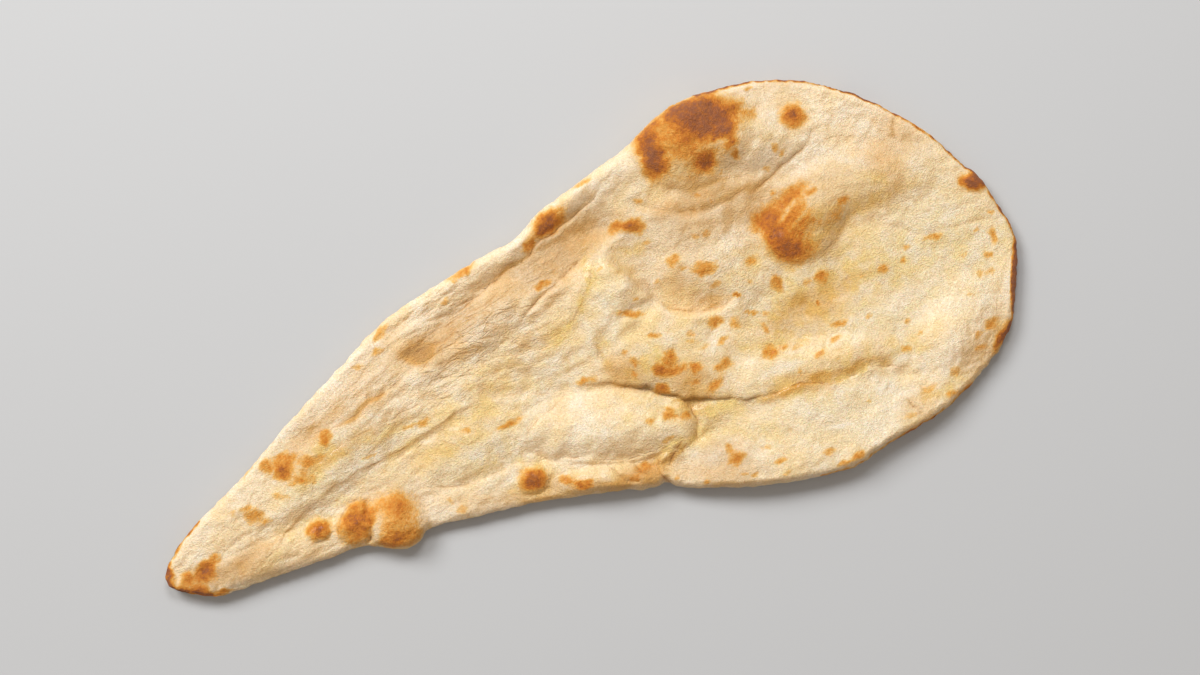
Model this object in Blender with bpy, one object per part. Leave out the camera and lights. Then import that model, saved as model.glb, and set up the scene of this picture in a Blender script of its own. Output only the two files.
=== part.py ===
"""Naan bread: one long leaf-shaped flatbread, oven-puffed, with blisters, folds, a lap and a narrow tail.

It lies on its underside. X runs along the bread, from the tail at -X to the head at +X. Z is up, and the
origin is the middle of the footprint, at the lowest point. Lengths are in millimetres until place_mesh.
"""

import bmesh
import bpy
import numpy as np
from mathutils import Matrix, Vector, noise

MM = 0.001

# Driving dimensions
SHEET = 7.5  # thickness of the plain sheet
LEAST_SHEET = 3.0  # thickness left under the deepest groove
EDGE_REACH = 5.0  # how far in from the outline the rim is rounded
EDGE_FACE = 1.4  # height of the rim's upright face
RIM_CURL = 3.0  # how far the rim lifts off the table
CURL_REACH = 30.0  # how far in from the outline the lift begins
LUMPS = 1.3  # height of the broad, slow unevenness
LUMP_SIZE = 34.0
ROWS, COLUMNS = 21, 48  # faces of the underside, across and along. The top has twice as many each way
EDGE_CROWDING = 0.35  # how much closer the rows lie at the rim than in the middle
CRUST_COLOUR = (0.85, 0.66, 0.38, 1.0)
CRUST_ROUGHNESS = 0.6

# The outline, in four runs that meet at the corners of the grid
TAIL_END = ((-205, -26), (-209.2, -21.5), (-208.6, -15.5), (-203, -10))
HEAD_END = (
    (183, -68), (193.5, -57.5), (200, -45.5), (206, -32.5), (209.3, -20), (206.5, -4),
    (204, 8), (198, 19), (190, 35.5), (179, 50.5), (167, 64),
)  # fmt: skip
UPPER_EDGE = (
    (-203, -10), (-190, -1.3), (-170, 7), (-150, 16), (-130, 26.5), (-100, 40), (-75, 51.5), (-50, 57),
    (-20, 62), (-3, 63.7), (13, 71), (35, 76.5), (58, 82), (75, 89), (90, 92.5), (110, 91), (128, 87.5),
    (148, 78.5), (167, 64),
)  # fmt: skip
LOWER_EDGE = (
    (-205, -26), (-190, -34.3), (-165, -36), (-140, -37.7), (-122, -38.7), (-113, -42.5), (-104, -47.5),
    (-96, -46.8), (-88, -43), (-70, -46), (-45, -50), (-20, -56), (-1.4, -61), (7, -64.3), (14, -65.6),
    (18.6, -65.2), (22.6, -69), (29, -72.6), (38, -76), (50, -81), (75, -88), (100, -92), (118, -88.5),
    (145, -84.5), (166, -77), (183, -68),
)  # fmt: skip

# Swellings of the top: centre x and y, half length, half width, turn in degrees, height, fullness.
# A fullness under 1 is a blister with steep sides, and one over 1 fades into the sheet.
SWELLINGS = {
    "big blister": (90, 78, 30, 27, -10, 7.5, 1.3),
    "blister shoulder": (85, 68, 47, 35, 0, 6, 1.3),
    "head plateau": (152, 58, 56, 40, -12, 2, 1.2),
    "blister flank": (113, 74, 24, 15, -15, 2.6, 1.4),
    "second blister": (122, 19, 23, 16, 16, 5, 1.1),
    "second blister ridge": (148, 26, 46, 18, -8, 3.8, 1.4),
    "upper right lobe": (120, 66, 32, 20, -22, 2.6, 1.3),
    "left lobe": (-52, -17, 38, 15, 4, 1.7, 1.2),
    "tail crown": (-162, -4, 44, 17, 22, 2.6, 1.2),
    "tail back": (-95, 21, 60, 19, 23, 2.2, 1.4),
    "tail underlip": (-160, -27, 44, 8, -1, 2.5, 1.1),
    "tail blister": (-102, -35, 15, 13, -35, 6, 0.9),
    "tail blister beside it": (-119.5, -28, 10.5, 9, 40, 3.2, 0.8),
    "brown blister": (-37, -41, 8, 6.5, 0, 3.2, 0.9),
    "lower band": (90, -79, 84, 27, -6, 5, 1.1),
    "plateau": (12, 20, 46, 20, 12, 2.6, 1.1),
    "lower right": (168, -52, 30, 19, 38, 4, 1.7),
    "upper body": (-15, 31, 62, 20, 14, 2.6, 1.5),
    "bottom lip": (-5, -54, 28, 7, -18, 4, 1.1),
}

# Swellings that stop at the lap, on its upper side
LAPPED_SWELLINGS = {
    "spotted mound": (42, -16, 34, 26, -30, 5.5, 1.1),
}

# Swellings that stop at the lap, on its lower side
UNDERLAID_SWELLINGS = {
    "smooth mound": (5, -32, 45, 17, -19, 5, 0.7),
}

# Where the whole sheet arches off the table, top and underside together
ARCHES = {
    "second ridge arch": (148, 28, 46, 18, -8, 1.6, 1.5),
    "lap arch": (92, -48, 54, 21, -8, 3.2, 1.2),
    "body arch": (-20, 36, 56, 13, 14, 4, 1.6),
    "tail arch": (-118, -1, 46, 12, 20, 2.4, 1.4),
    "mound arch": (12, -38, 40, 16, -20, 1.6, 1.6),
    "bowl arch": (60, 22, 54, 36, -10, 4, 1.3),
}

# Ridges above zero and troughs below: height, half width, then the points that they run through
FOLDS = {
    "rolled rim": (2.8, 6.5, (-58, 50), (-30, 56), (0, 59.5), (18, 66.5), (38, 72), (58, 78)),
    "tail strip": (1.9, 4.2, (-152, -16.5), (-130, -6.5), (-100, -1.8), (-82, -0.5), (-66, 3)),
    "tail trough": (-0.8, 5, (-180, -27), (-158, -21.5), (-134, -12), (-110, -6.5), (-90, -4), (-65, 0)),
    "butter valley": (-2.6, 13, (82, -19), (98, -17), (116, -13), (146, -6)),
    "plateau edge": (2.5, 9, (26, 50), (33, 38), (36, 26), (38, 14)),
    "head ridge": (0.8, 7, (152, 2), (166, -3), (182, -9), (206, -13)),
    "lower trough": (-1.6, 4, (44, -34), (42, -44), (38, -54)),
}

# Lines where the sheet on the left, looking along them, sinks to the line and meets the next form at an edge
# or, with a height above zero, stands over it: height, reach back, softness of the edge, then the points
STEPS = {
    "bowl foot": (-6.5, 14, 1.8, (33, 42), (39.3, 27), (49, 9.6), (60, 2), (70, -0.8), (81, 1)),
    "blister side": (2.6, 8, 1.6, (69, 91), (61.3, 79), (66, 63.5), (79, 54.6), (95, 52)),
    "second blister side": (2.4, 7, 1.6, (106, 35), (102, 20), (112, 5), (131, 6), (141, 11.5)),
    "band end": (3.2, 6, 1.2, (31, -53.6), (20, -53.6), (17.5, -59.5), (22, -69)),
    "tail groove": (
        -1.5, 5, 1.6, (-172, -26.5), (-151.5, -20.5), (-129, -10.3), (-94, -5.6), (-63.5, -0.8),
    ),
    "lobe crease": (-1.8, 5, 1.6, (106, 42), (120, 46), (133, 50.5), (143, 59)),
    "mound foot": (
        -3, 8, 1.6, (-36, -25), (-25.7, -36.2), (-12, -40.5), (0.7, -46.6), (14, -49.7), (36, -49.6),
    ),
    "hollow foot": (-6, 12, 2.5, (-14, 38), (10, 41), (30, 45), (46, 56)),
    "ridge foot": (-1.3, 9, 1.6, (131, 6), (146, 13.5), (165, 11), (174, 11.5)),
    "strip line": (-1.6, 5, 1.6, (-89, -23), (-70, -30.4), (-44, -30.8), (-27, -38)),
    "rim roll": (-1.8, 3.5, 1.6, (-57, 44.5), (-33, 45), (-4, 53), (17, 60.4), (50, 73)),
    "band edge": (
        -2.6, 4, 1.6, (64, -42.5), (80, -46), (90, -46), (106, -52.4), (129, -53.5), (142, -60),
    ),
}  # fmt: skip

# The lap: the sheet on its left, looking along it, stands above the one on its right and leans over it
LAP_RUN = (
    (-4, -8.5), (10, -12), (19, -17.3), (27.5, -20.8), (31, -25), (38, -30), (48.6, -35.7), (60, -40.2),
    (70.5, -44.8), (80, -45.4), (90, -45.4), (99, -49), (106, -52.8), (118, -51.4), (129, -53.5), (144, -61),
)  # fmt: skip
LAP_HEIGHT = 2.6
LAP_PART = 0.6  # the share of the run that the rise goes along
LAP_BACK = 24.0  # how far behind the lap its rise starts
LAP_WALL = 2.2  # how steep its face is: the smaller, the steeper
LAP_LEAN = 1.5  # how far its lip leans out


def curve_through(points, steps=8):
    """Points along the smooth curve that passes through the given ones."""
    run = np.array([points[0], *points, points[-1]], float)
    t = np.linspace(0, 1, steps, endpoint=False)[:, None]
    pieces = [
        0.5 * (2 * b + (c - a) * t + (2 * a - 5 * b + 4 * c - d) * t**2 + (3 * b - a - 3 * c + d) * t**3)
        for a, b, c, d in zip(run, run[1:], run[2:], run[3:])
    ]
    return np.vstack([*pieces, run[-1:]])


def lengths_along(curve):
    """The distance travelled at each point of a curve."""
    return np.concatenate([[0], np.cumsum(np.linalg.norm(np.diff(curve, axis=0), axis=1))])


def at_share(points, share):
    """The places at these shares, 0 to 1, of the length of the curve through the points."""
    curve = curve_through(points)
    travelled = lengths_along(curve)
    reached = share * travelled[-1]
    return np.stack([np.interp(reached, travelled, curve[:, axis]) for axis in (0, 1)], axis=1)


def beside(places, points):
    """For each place, its distance to the left of the curve and the share of it at the nearest spot."""
    curve = curve_through(points)
    travelled = lengths_along(curve)
    nearest = np.full(len(places), np.inf)
    left = np.zeros(len(places))
    share = np.zeros(len(places))
    for start, end, begun in zip(curve, curve[1:], travelled):
        way = end - start
        length = np.linalg.norm(way)
        reach = np.clip((places - start) @ way / length**2, 0, 1)
        gap = places - start - reach[:, None] * way
        distance = np.linalg.norm(gap, axis=1)
        closer = distance < nearest
        side = np.where(way[0] * gap[:, 1] < way[1] * gap[:, 0], -1.0, 1.0)
        nearest[closer] = distance[closer]
        left[closer] = (side * distance)[closer]
        share[closer] = ((begun + reach * length) / travelled[-1])[closer]
    return left, share


def swelling(places, x, y, length, width, turn, height, fullness):
    """The height of one oval swelling at each place."""
    cos, sin = np.cos(np.radians(turn)), np.sin(np.radians(turn))
    across = places - (x, y)
    u = (across[:, 0] * cos + across[:, 1] * sin) / length
    v = (across[:, 1] * cos - across[:, 0] * sin) / width
    return height * np.clip(1 - u**2 - v**2, 0, 1) ** fullness


def swellings(places, table):
    return sum(swelling(places, *values) for values in table.values())


def tapered(share):
    """1 along most of a curve, falling to 0 at both of its ends."""
    return np.clip(4 * share, 0, 1) ** 0.5 * np.clip(4 * (1 - share), 0, 1) ** 0.5


def folds(places):
    total = np.zeros(len(places))
    for height, half_width, *points in FOLDS.values():
        left, share = beside(places, points)
        total += height * tapered(share) * np.exp(-((left / half_width) ** 2))
    return total


def steps(places):
    """Forms that sink to a line and end there at an edge, or stand over it."""
    total = np.zeros(len(places))
    for height, back, edge, *points in STEPS.values():
        left, share = beside(places, points)
        side = 1 / (1 + np.exp(-left / edge))
        total += height * tapered(share) * side * np.exp(-np.clip(left, 0, None) / back)
    return total


def lumps(places):
    """The slow unevenness of hand-stretched dough."""
    return LUMPS * np.array([noise.noise(Vector((x, y, 0)) / LUMP_SIZE) for x, y in places])


def spread(grid):
    """Grid places from 0 to 1, crowded towards both ends."""
    return grid - EDGE_CROWDING * np.sin(2 * np.pi * grid) / (2 * np.pi)


def across_outline(u, v):
    """The flat place of each grid point, blended from the four runs of the outline."""
    lower, upper = at_share(LOWER_EDGE, u), at_share(UPPER_EDGE, u)
    tail, head = at_share(TAIL_END, v), at_share(HEAD_END, v)
    u, v = u[:, None], v[:, None]
    corners = (
        (1 - u) * (1 - v) * LOWER_EDGE[0]
        + u * (1 - v) * LOWER_EDGE[-1]
        + (1 - u) * v * UPPER_EDGE[0]
        + u * v * UPPER_EDGE[-1]
    )
    return (1 - v) * lower + v * upper + (1 - u) * tail + u * head - corners


def to_rim(places):
    """The distance from each place to the outline."""
    runs = (LOWER_EDGE, HEAD_END, UPPER_EDGE, TAIL_END)
    return np.min([np.abs(beside(places, run)[0]) for run in runs], axis=0)


def shaped(u, v, top):
    """The finished place of each grid point: top is 1 on the upper face and 0 on the underside."""
    flat = across_outline(spread(u), spread(v))
    rim = to_rim(flat)
    roundness = np.sqrt(1 - (1 - np.clip(rim / EDGE_REACH, 0, 1)) ** 2)
    waviness = 0.5 + 0.5 * np.array([noise.noise(Vector((x, y, 60)) / 55) for x, y in flat])
    arch = RIM_CURL * np.clip(1 - rim / CURL_REACH, 0, 1) ** 2 * waviness + swellings(flat, ARCHES)

    left, share = beside(flat, LAP_RUN)
    above = 1 / (1 + np.exp(-left / LAP_WALL))
    rise = tapered(np.clip(share / LAP_PART, 0, 1))
    lap = LAP_HEIGHT * rise * above * np.exp(-np.clip(left, 0, None) / LAP_BACK)
    relief = swellings(flat, SWELLINGS) + folds(flat) + steps(flat) + lumps(flat) + lap
    relief += above * swellings(flat, LAPPED_SWELLINGS) + (1 - above) * swellings(flat, UNDERLAID_SWELLINGS)

    thickness = np.clip(SHEET + relief, LEAST_SHEET, None)
    middle = arch + SHEET / 2
    under = middle - np.maximum(roundness * SHEET, EDGE_FACE) / 2
    over = middle + roundness * (thickness - SHEET / 2)
    over = np.maximum(over, under + EDGE_FACE)

    # The lip leans out over the lower sheet, most where the lap is highest
    lean = top * LAP_LEAN * tapered(share) * np.exp(-(((left - LAP_WALL) / (2 * LAP_WALL)) ** 2))
    flat = flat + lean[:, None] * (0.25, -0.97)
    return np.column_stack([flat, np.where(top > 0.5, over, under)])


def gridded_slab():
    """A flat slab one unit each way, with the top's faces half the size of the underside's."""
    slab = bmesh.new()
    bmesh.ops.create_grid(slab, x_segments=COLUMNS, y_segments=ROWS, size=0.5)
    bmesh.ops.translate(slab, verts=slab.verts, vec=(0.5, 0.5, 0))
    raised = bmesh.ops.extrude_face_region(slab, geom=slab.faces[:])
    upper = [item for item in raised["geom"] if isinstance(item, bmesh.types.BMVert)]
    bmesh.ops.translate(slab, verts=upper, vec=(0, 0, 1))
    top_edges = [edge for edge in slab.edges if all(vert.co.z > 0.5 for vert in edge.verts)]
    bmesh.ops.subdivide_edges(slab, edges=top_edges, cuts=1, use_grid_fill=True)
    bmesh.ops.recalc_face_normals(slab, faces=slab.faces)
    return slab


def crust():
    material = bpy.data.materials.new("baked_crust")
    material.use_nodes = True
    surface = material.node_tree.nodes["Principled BSDF"]
    surface.inputs["Base Color"].default_value = CRUST_COLOUR
    surface.inputs["Roughness"].default_value = CRUST_ROUGHNESS
    surface.inputs["Metallic"].default_value = 0.0
    return material


def place_mesh(slab, places):
    """Moves the slab's vertices to these places, and the whole so that the origin is under its middle."""
    places = places * MM
    lowest, highest = places.min(axis=0), places.max(axis=0)
    for vert, place in zip(slab.verts, places):
        vert.co = place
    middle = (lowest + highest) / 2
    bmesh.ops.transform(
        slab, matrix=Matrix.Translation((-middle[0], -middle[1], -lowest[2])), verts=slab.verts
    )


def make_naan():
    slab = gridded_slab()
    grid = np.array([vert.co for vert in slab.verts])
    place_mesh(slab, shaped(grid[:, 0], grid[:, 1], grid[:, 2]))
    mesh = bpy.data.meshes.new("naan")
    slab.to_mesh(mesh)
    slab.free()
    mesh.shade_smooth()
    mesh.materials.append(crust())
    naan = bpy.data.objects.new("naan", mesh)
    bpy.context.collection.objects.link(naan)
    return naan


def main():
    for thing in list(bpy.data.objects):
        bpy.data.objects.remove(thing)
    make_naan()


main()
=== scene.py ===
"""Naan bread: the baked bread as it looks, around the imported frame, and its stage, laid out as an add-on."""

import math

import bmesh
import bpy
import numpy as np
from bpy.props import FloatProperty, FloatVectorProperty, IntProperty, PointerProperty
from bpy.types import Operator, Panel, PropertyGroup
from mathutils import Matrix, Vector, noise
from mathutils.kdtree import KDTree


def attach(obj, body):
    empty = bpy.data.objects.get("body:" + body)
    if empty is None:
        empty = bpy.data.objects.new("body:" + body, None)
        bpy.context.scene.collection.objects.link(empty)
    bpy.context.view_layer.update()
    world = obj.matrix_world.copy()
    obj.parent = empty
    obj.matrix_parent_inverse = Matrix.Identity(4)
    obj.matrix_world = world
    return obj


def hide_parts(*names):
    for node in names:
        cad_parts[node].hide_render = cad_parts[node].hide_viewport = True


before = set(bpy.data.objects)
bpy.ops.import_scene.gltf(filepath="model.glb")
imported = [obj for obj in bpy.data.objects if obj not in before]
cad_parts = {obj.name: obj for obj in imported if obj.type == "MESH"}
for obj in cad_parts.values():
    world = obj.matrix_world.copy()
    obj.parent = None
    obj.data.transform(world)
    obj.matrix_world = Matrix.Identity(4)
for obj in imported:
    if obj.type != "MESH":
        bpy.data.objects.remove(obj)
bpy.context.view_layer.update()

bl_info = {
    "name": "Naan bread",
    "version": (1, 0, 0),
    "blender": (4, 5, 0),
    "location": "3D View > Sidebar > Naan",
    "description": "Makes a leaf-shaped, oven-puffed naan with its scorches, butter and stage",
    "category": "Add Mesh",
}

MM = 0.001

# The outline in millimetres, in four runs that meet at the corners of the grid
TAIL_END = ((-205, -26), (-209.2, -21.5), (-208.6, -15.5), (-203, -10))
HEAD_END = (
    (183, -68), (193.5, -57.5), (200, -45.5), (206, -32.5), (209.3, -20), (206.5, -4), (204, 8),
    (198, 19), (190, 35.5), (179, 50.5), (167, 64),
)
UPPER_EDGE = (
    (-203, -10), (-190, -1.3), (-170, 7), (-150, 16), (-130, 26.5), (-100, 40), (-75, 51.5), (-50, 57),
    (-20, 62), (-3, 63.7), (13, 71), (35, 76.5), (58, 82), (75, 89), (90, 92.5), (110, 91), (128, 87.5),
    (148, 78.5), (167, 64),
)
LOWER_EDGE = (
    (-205, -26), (-190, -34.3), (-165, -36), (-140, -37.7), (-122, -38.7), (-113, -42.5), (-104, -47.5),
    (-96, -46.8), (-88, -43), (-70, -46), (-45, -50), (-20, -56), (-1.4, -61), (7, -64.3), (14, -65.6),
    (18.6, -65.2), (22.6, -69), (29, -72.6), (38, -76), (50, -81), (75, -88), (100, -92), (118, -88.5),
    (145, -84.5), (166, -77), (183, -68),
)

# Swellings of the top: centre x and y, half length, half width, turn in degrees, height, fullness.
# A fullness under 1 is a blister with steep sides, and one over 1 fades into the sheet.
SWELLINGS = {
    "big blister": (90, 78, 30, 27, -10, 7, 1.3),
    "blister shoulder": (85, 65, 48, 41, 0, 6.2, 1.35),
    "head plateau": (152, 58, 56, 40, -12, 2, 1.2),
    "blister flank": (117, 63, 24, 15, -14, 3.6, 1.4),
    "second blister": (122, 19, 23, 16, 16, 5, 1.1),
    "second blister ridge": (148, 26, 46, 18, -8, 3.2, 1.4),
    "upper right lobe": (126, 63, 32, 20, -22, 1.4, 1.3),
    "left lobe": (-52, -17, 38, 15, 4, 1.7, 1.2),
    "tail crown": (-162, -4, 44, 17, 22, 2.6, 1.2),
    "tail back": (-95, 21, 60, 19, 23, 2.2, 1.4),
    "tail underlip": (-160, -27, 44, 8, -1, 2.5, 1.1),
    "tail blister": (-102, -35, 15, 13, -35, 6, 0.9),
    "tail blister beside it": (-119.5, -28, 10.5, 9, 40, 3.2, 0.7),
    "tail pea blister": (-136, -24, 6, 5.5, 0, 2.4, 0.7),
    "brown blister": (-37, -41, 8, 6.5, 0, 3.2, 0.8),
    "lower band": (90, -79, 84, 27, -6, 5, 1.1),
    "plateau": (12, 20, 46, 20, 12, 2.6, 1.1),
    "lower right": (168, -52, 30, 19, 38, 4, 1.7),
    "upper body": (-15, 31, 62, 20, 14, 2.6, 1.5),
    "bottom lip": (-5, -54, 28, 7, -18, 4, 1.1),
    "rim knob": (200.5, 6.5, 6, 4.5, -20, 1.5, 0.8),
    "upper right spot": (136, 66.5, 7, 6.5, 0, 1.2, 1.0),
}

# Swellings that stop at the lap, on its upper side
LAPPED_SWELLINGS = {
    "spotted mound": (43, -14, 33, 25, -30, 4.6, 1.3),
}

# Swellings that stop at the lap, on its lower side
UNDERLAID_SWELLINGS = {
    "smooth mound": (5, -32, 45, 17, -19, 4, 0.65),
}

# Where the whole sheet arches off the table, top and underside together
ARCHES = {
    "second ridge arch": (148, 28, 46, 18, -8, 1.2, 1.5),
    "lap arch": (92, -48, 54, 21, -8, 3.2, 1.2),
    "body arch": (-20, 36, 56, 13, 14, 4, 1.6),
    "tail arch": (-118, -1, 46, 12, 20, 1.9, 1.4),
    "mound arch": (12, -38, 40, 16, -20, 1.6, 1.6),
    "bowl arch": (60, 22, 54, 36, -10, 4, 1.3),
}

# Soft ridges above zero and troughs below: height, half width, then the points that they run through
FOLDS = {
    "rolled rim": (2.8, 6.5, (-58, 50), (-30, 56), (0, 59.5), (18, 66.5), (38, 72), (58, 78)),
    "butter valley": (-2.0, 12, (90, -20), (102, -18), (118, -13), (138, -8)),
    "plateau edge": (2.5, 9, (26, 50), (33, 38), (36, 26), (38, 14)),
    "lap back": (2.0, 14, (84, -40), (104, -44), (126, -45), (150, -50), (172, -55)),
    "lower trough": (-1.6, 4, (44, -34), (42, -44), (38, -54)),
}

# Lines where the sheet on their left, looking along them, sinks to the line and meets the next form at a crisp
# edge, or, with a height above zero, stands over it: height, reach back, softness of the edge, how clearly the
# line itself is drawn, then the points
STEPS = {
    "bowl foot": (-6.5, 14, 1.2, 0.3, (33, 42), (36, 34), (39.3, 27), (44, 17.4), (49, 9.6), (54, 5),
        (60, 2), (70, -0.8), (81, 1)),
    "blister side": (1.3, 8, 1.4, 0.15, (69, 91), (63.5, 86), (61.3, 79), (62, 71), (66, 63.5), (72, 58),
        (79, 54.6), (87, 52.4), (95, 52)),
    "second blister side": (1.5, 7, 1.0, 0.45, (106, 35), (102.5, 28), (102, 20), (105, 11), (112, 5),
        (121, 3), (131, 6), (141, 11.5)),
    "band end": (3.2, 6, 0.5, 1.0, (31, -53.6), (25, -53.2), (20, -53.6), (17.9, -55.4), (17.5, -59.5),
        (19, -64.5), (22, -69)),
    "tail groove": (0.8, 8, 0.5, 0.6, (-172, -26.5), (-159, -25), (-151.5, -20.5), (-144, -16.3),
        (-136.5, -13), (-129, -10.3), (-119, -8.3), (-110, -6.8), (-94, -5.6), (-78, -3.3), (-63.5, -0.8),
        (-54, 1.4), (-44, 1.8)),
    "lobe crease": (0.6, 9, 0.5, 0.6, (106, 42), (112, 43.5), (120, 46), (127, 48.5), (133, 50.5),
        (138, 53.5), (143, 59)),
    "mound foot": (-1.8, 5, 0.6, 0.8, (-36, -25), (-33, -29), (-30, -32), (-25.7, -36.2), (-19.3, -38),
        (-12, -40.5), (-6.4, -43.3), (0.7, -46.6), (7, -49), (14, -49.7), (24, -50), (36, -49.6)),
    "mound top": (-1.4, 4, 0.6, 0.5, (-35, -25), (-32, -21), (-29, -18.6), (-20, -14.7), (-8, -10.8)),
    "hollow foot": (-6, 12, 2.5, 0, (-14, 38), (10, 41), (30, 45), (46, 56)),
    "ridge foot": (-1.3, 9, 1.0, 0.6, (131, 6), (138, 9.5), (146, 13.5), (155, 13.2), (165, 11),
        (174, 11.5)),
    "tail side line": (-0.5, 4, 0.8, 0.5, (-134, 2), (-118, 6), (-110, 7.8), (-94, 9.4), (-78, 10.7),
        (-65, 11), (-54, 11.8), (-40, 10.8), (-24, 11)),
    "second tail line": (-1.2, 4, 0.7, 0.5, (-96, -8), (-80, -6.5), (-68, -3.5)),
    "rust line": (-0.9, 3.5, 0.6, 0.8, (-122, 17), (-110, 16.4), (-100, 17.7), (-90.7, 21), (-84, 22),
        (-68, 28)),
    "lobe edge": (-1.4, 4, 0.7, 0.5, (-46, 1), (-37, 0), (-26.5, -2.7), (-17, -6.7), (-6, -9)),
    "strip line": (-1.6, 5, 0.8, 0.5, (-89, -23), (-81, -26), (-70, -30.4), (-57, -31), (-44, -30.8),
        (-35, -32.4), (-27, -38)),
    "rim roll": (-1.5, 3, 0.6, 0.9, (-57, 44.5), (-43, 42.5), (-33, 45), (-22.5, 48.7), (-13.7, 50.5),
        (-4, 53), (2.4, 55), (9, 58.5), (17, 60.4), (29.6, 64), (41, 68.8), (50, 73)),
    "upper roll line": (-0.8, 3, 0.5, 0.5, (-76, 47.5), (-69, 45.8), (-60, 46.7), (-50, 48.5),
        (-42, 49.5)),
    "line under the rim": (-0.9, 3, 0.5, 0.6, (-62, 36.5), (-54.6, 38), (-38, 40.7), (-26.5, 41),
        (-17, 44.5)),
    "body line": (-0.8, 4, 0.7, 0.4, (-52, 31), (-35, 28), (-28, 26), (-20, 25.5), (-10, 27)),
    "low body line": (-0.8, 4, 0.7, 0.4, (-44, 15.5), (-30, 17), (-20, 14), (-4, 13)),
    "band edge": (-2.2, 2.6, 0.8, 1.0, (64, -42.5), (72, -45.2), (80, -46), (90, -46), (99, -49),
        (106, -52.4), (118, -51.4), (129, -53.5), (142, -60)),
    "mound edge": (1.2, 6, 0.9, 0.3, (24, -10), (17, -4), (13.5, 2), (15, 10)),
}

# Sharp creases: depth, half width, how clearly the line is drawn, then the points that they run through
CREASES = {
    "short line": (0.6, 0.8, 0.5, (-40, 46), (-30, 46.3), (-20, 49)),
    "line from a spot": (1.0, 1.0, 0.7, (-16, 26.5), (-4, 33.5), (8.8, 38), (23.2, 44.7), (29.6, 48)),
    "upright crease": (1.2, 0.8, 0.8, (41.4, -32.5), (40.7, -36.4), (42.1, -39.3), (41.4, -45.7),
        (39.3, -50.7), (38.4, -54)),
    "pleat fold": (1.2, 1.0, 0.6, (-4, -47), (0.7, -54.3), (3.6, -57.9), (7.5, -60.5)),
    "second pleat fold": (1.0, 0.9, 0.5, (8, -51), (10, -56), (14, -60)),
    "brown line": (0.5, 0.6, 1.0, (22.4, -59.3), (27, -55), (32.8, -50.7)),
    "head line": (0.6, 1.0, 0.3, (181, 51), (177, 44), (174, 36)),
    "pleat line": (1.0, 0.8, 0.4, (133.5, -72), (136.5, -78), (139, -84)),
    "between the tail blisters": (1.8, 0.9, 0.5, (-110, -19), (-112.5, -25), (-113, -31), (-116, -37),
        (-121, -39)),
    "lobe line": (0.7, 0.8, 0.6, (106, 42), (113, 43.8), (120, 46), (127, 48.5), (133, 50.5),
        (138, 53.5)),
    "bowl line": (1.4, 0.8, 0.9, (46, 14), (51, 7.5), (57, 3.2), (65, 0.2), (73, -0.8), (80.5, 1.2)),
    "shoulder line": (0.5, 1.1, 0.35, (52, 59), (57, 55), (64, 50.6), (69, 47), (76.4, 44), (84, 42.2),
        (90, 41.8), (99, 43), (106, 42.4)),
    "head ridge line": (0.5, 0.9, 0.3, (152.5, 6.5), (161, 1), (169, -5), (180.6, -8.2), (196, -10.5),
        (205, -14.7)),
    "fan line": (0.7, 1.2, 0.2, (133, -59), (138, -61), (145, -66)),
    "blister ring": (0.6, 0.8, 0.5, (-112, -20), (-119, -19.5), (-126, -24), (-128.5, -30), (-126, -36)),
}

# Fine crease lines that are drawn darker on the crust, partly browning and partly painted crease shade, and hardly
# sink into it: how clearly, then the points
FINE_LINES = (
    (0.5, (-30, 32), (-24, 24), (-18, 18), (-10, 12)),
    (0.5, (-46, 38), (-40, 30), (-37, 24), (-30, 20)),
    (0.5, (-58, 35), (-50, 33), (-44, 35)),
    (0.5, (-66, 27), (-56, 24), (-46, 25), (-38, 22)),
    (0.4, (-70, 16), (-60, 18), (-48, 16), (-40, 19)),
    (0.4, (-36, 9), (-28, 6), (-18, 7)),
    (0.5, (-8, 20), (-16, 22), (-24, 20)),
    (0.4, (-14, 34), (-20, 30), (-30, 33)),
    (0.2, (66, 16), (74, 7), (80, 2)),
    (0.2, (80, 18), (81, 10), (82, 4)),
    (0.2, (64, 7), (74, 4), (84, 6)),
    (0.25, (101, 14), (101, 2), (98, -6)),
    (0.3, (124, -14), (132, -11), (142, -13)),
    (0.5, (29.6, 45.5), (26.4, 40), (18.4, 28.6), (9.6, 20.6), (0.8, 15)),
    (0.5, (13.6, 9), (12.8, -0.3), (16.8, -6.7)),
    (0.6, (-14.5, 24), (-6, 20), (2, 17)),
    (0.4, (-106, 28), (-94, 32), (-82, 38)),
    (0.4, (-100, 3), (-88, 5), (-76, 6.5), (-66, 7)),
)

# The lap: the sheet on its left, looking along it, stands above the one on its right and leans over it
LAP_RUN = (
    (-4, -8.5), (10, -12), (19, -17.3), (27.5, -20.8), (31, -25), (38, -30), (48.6, -35.7), (60, -40.2),
    (70.5, -44.8), (80, -45.4), (90, -45.4), (99, -49), (106, -52.8), (118, -51.4), (129, -53.5),
    (144, -61),
)

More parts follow.
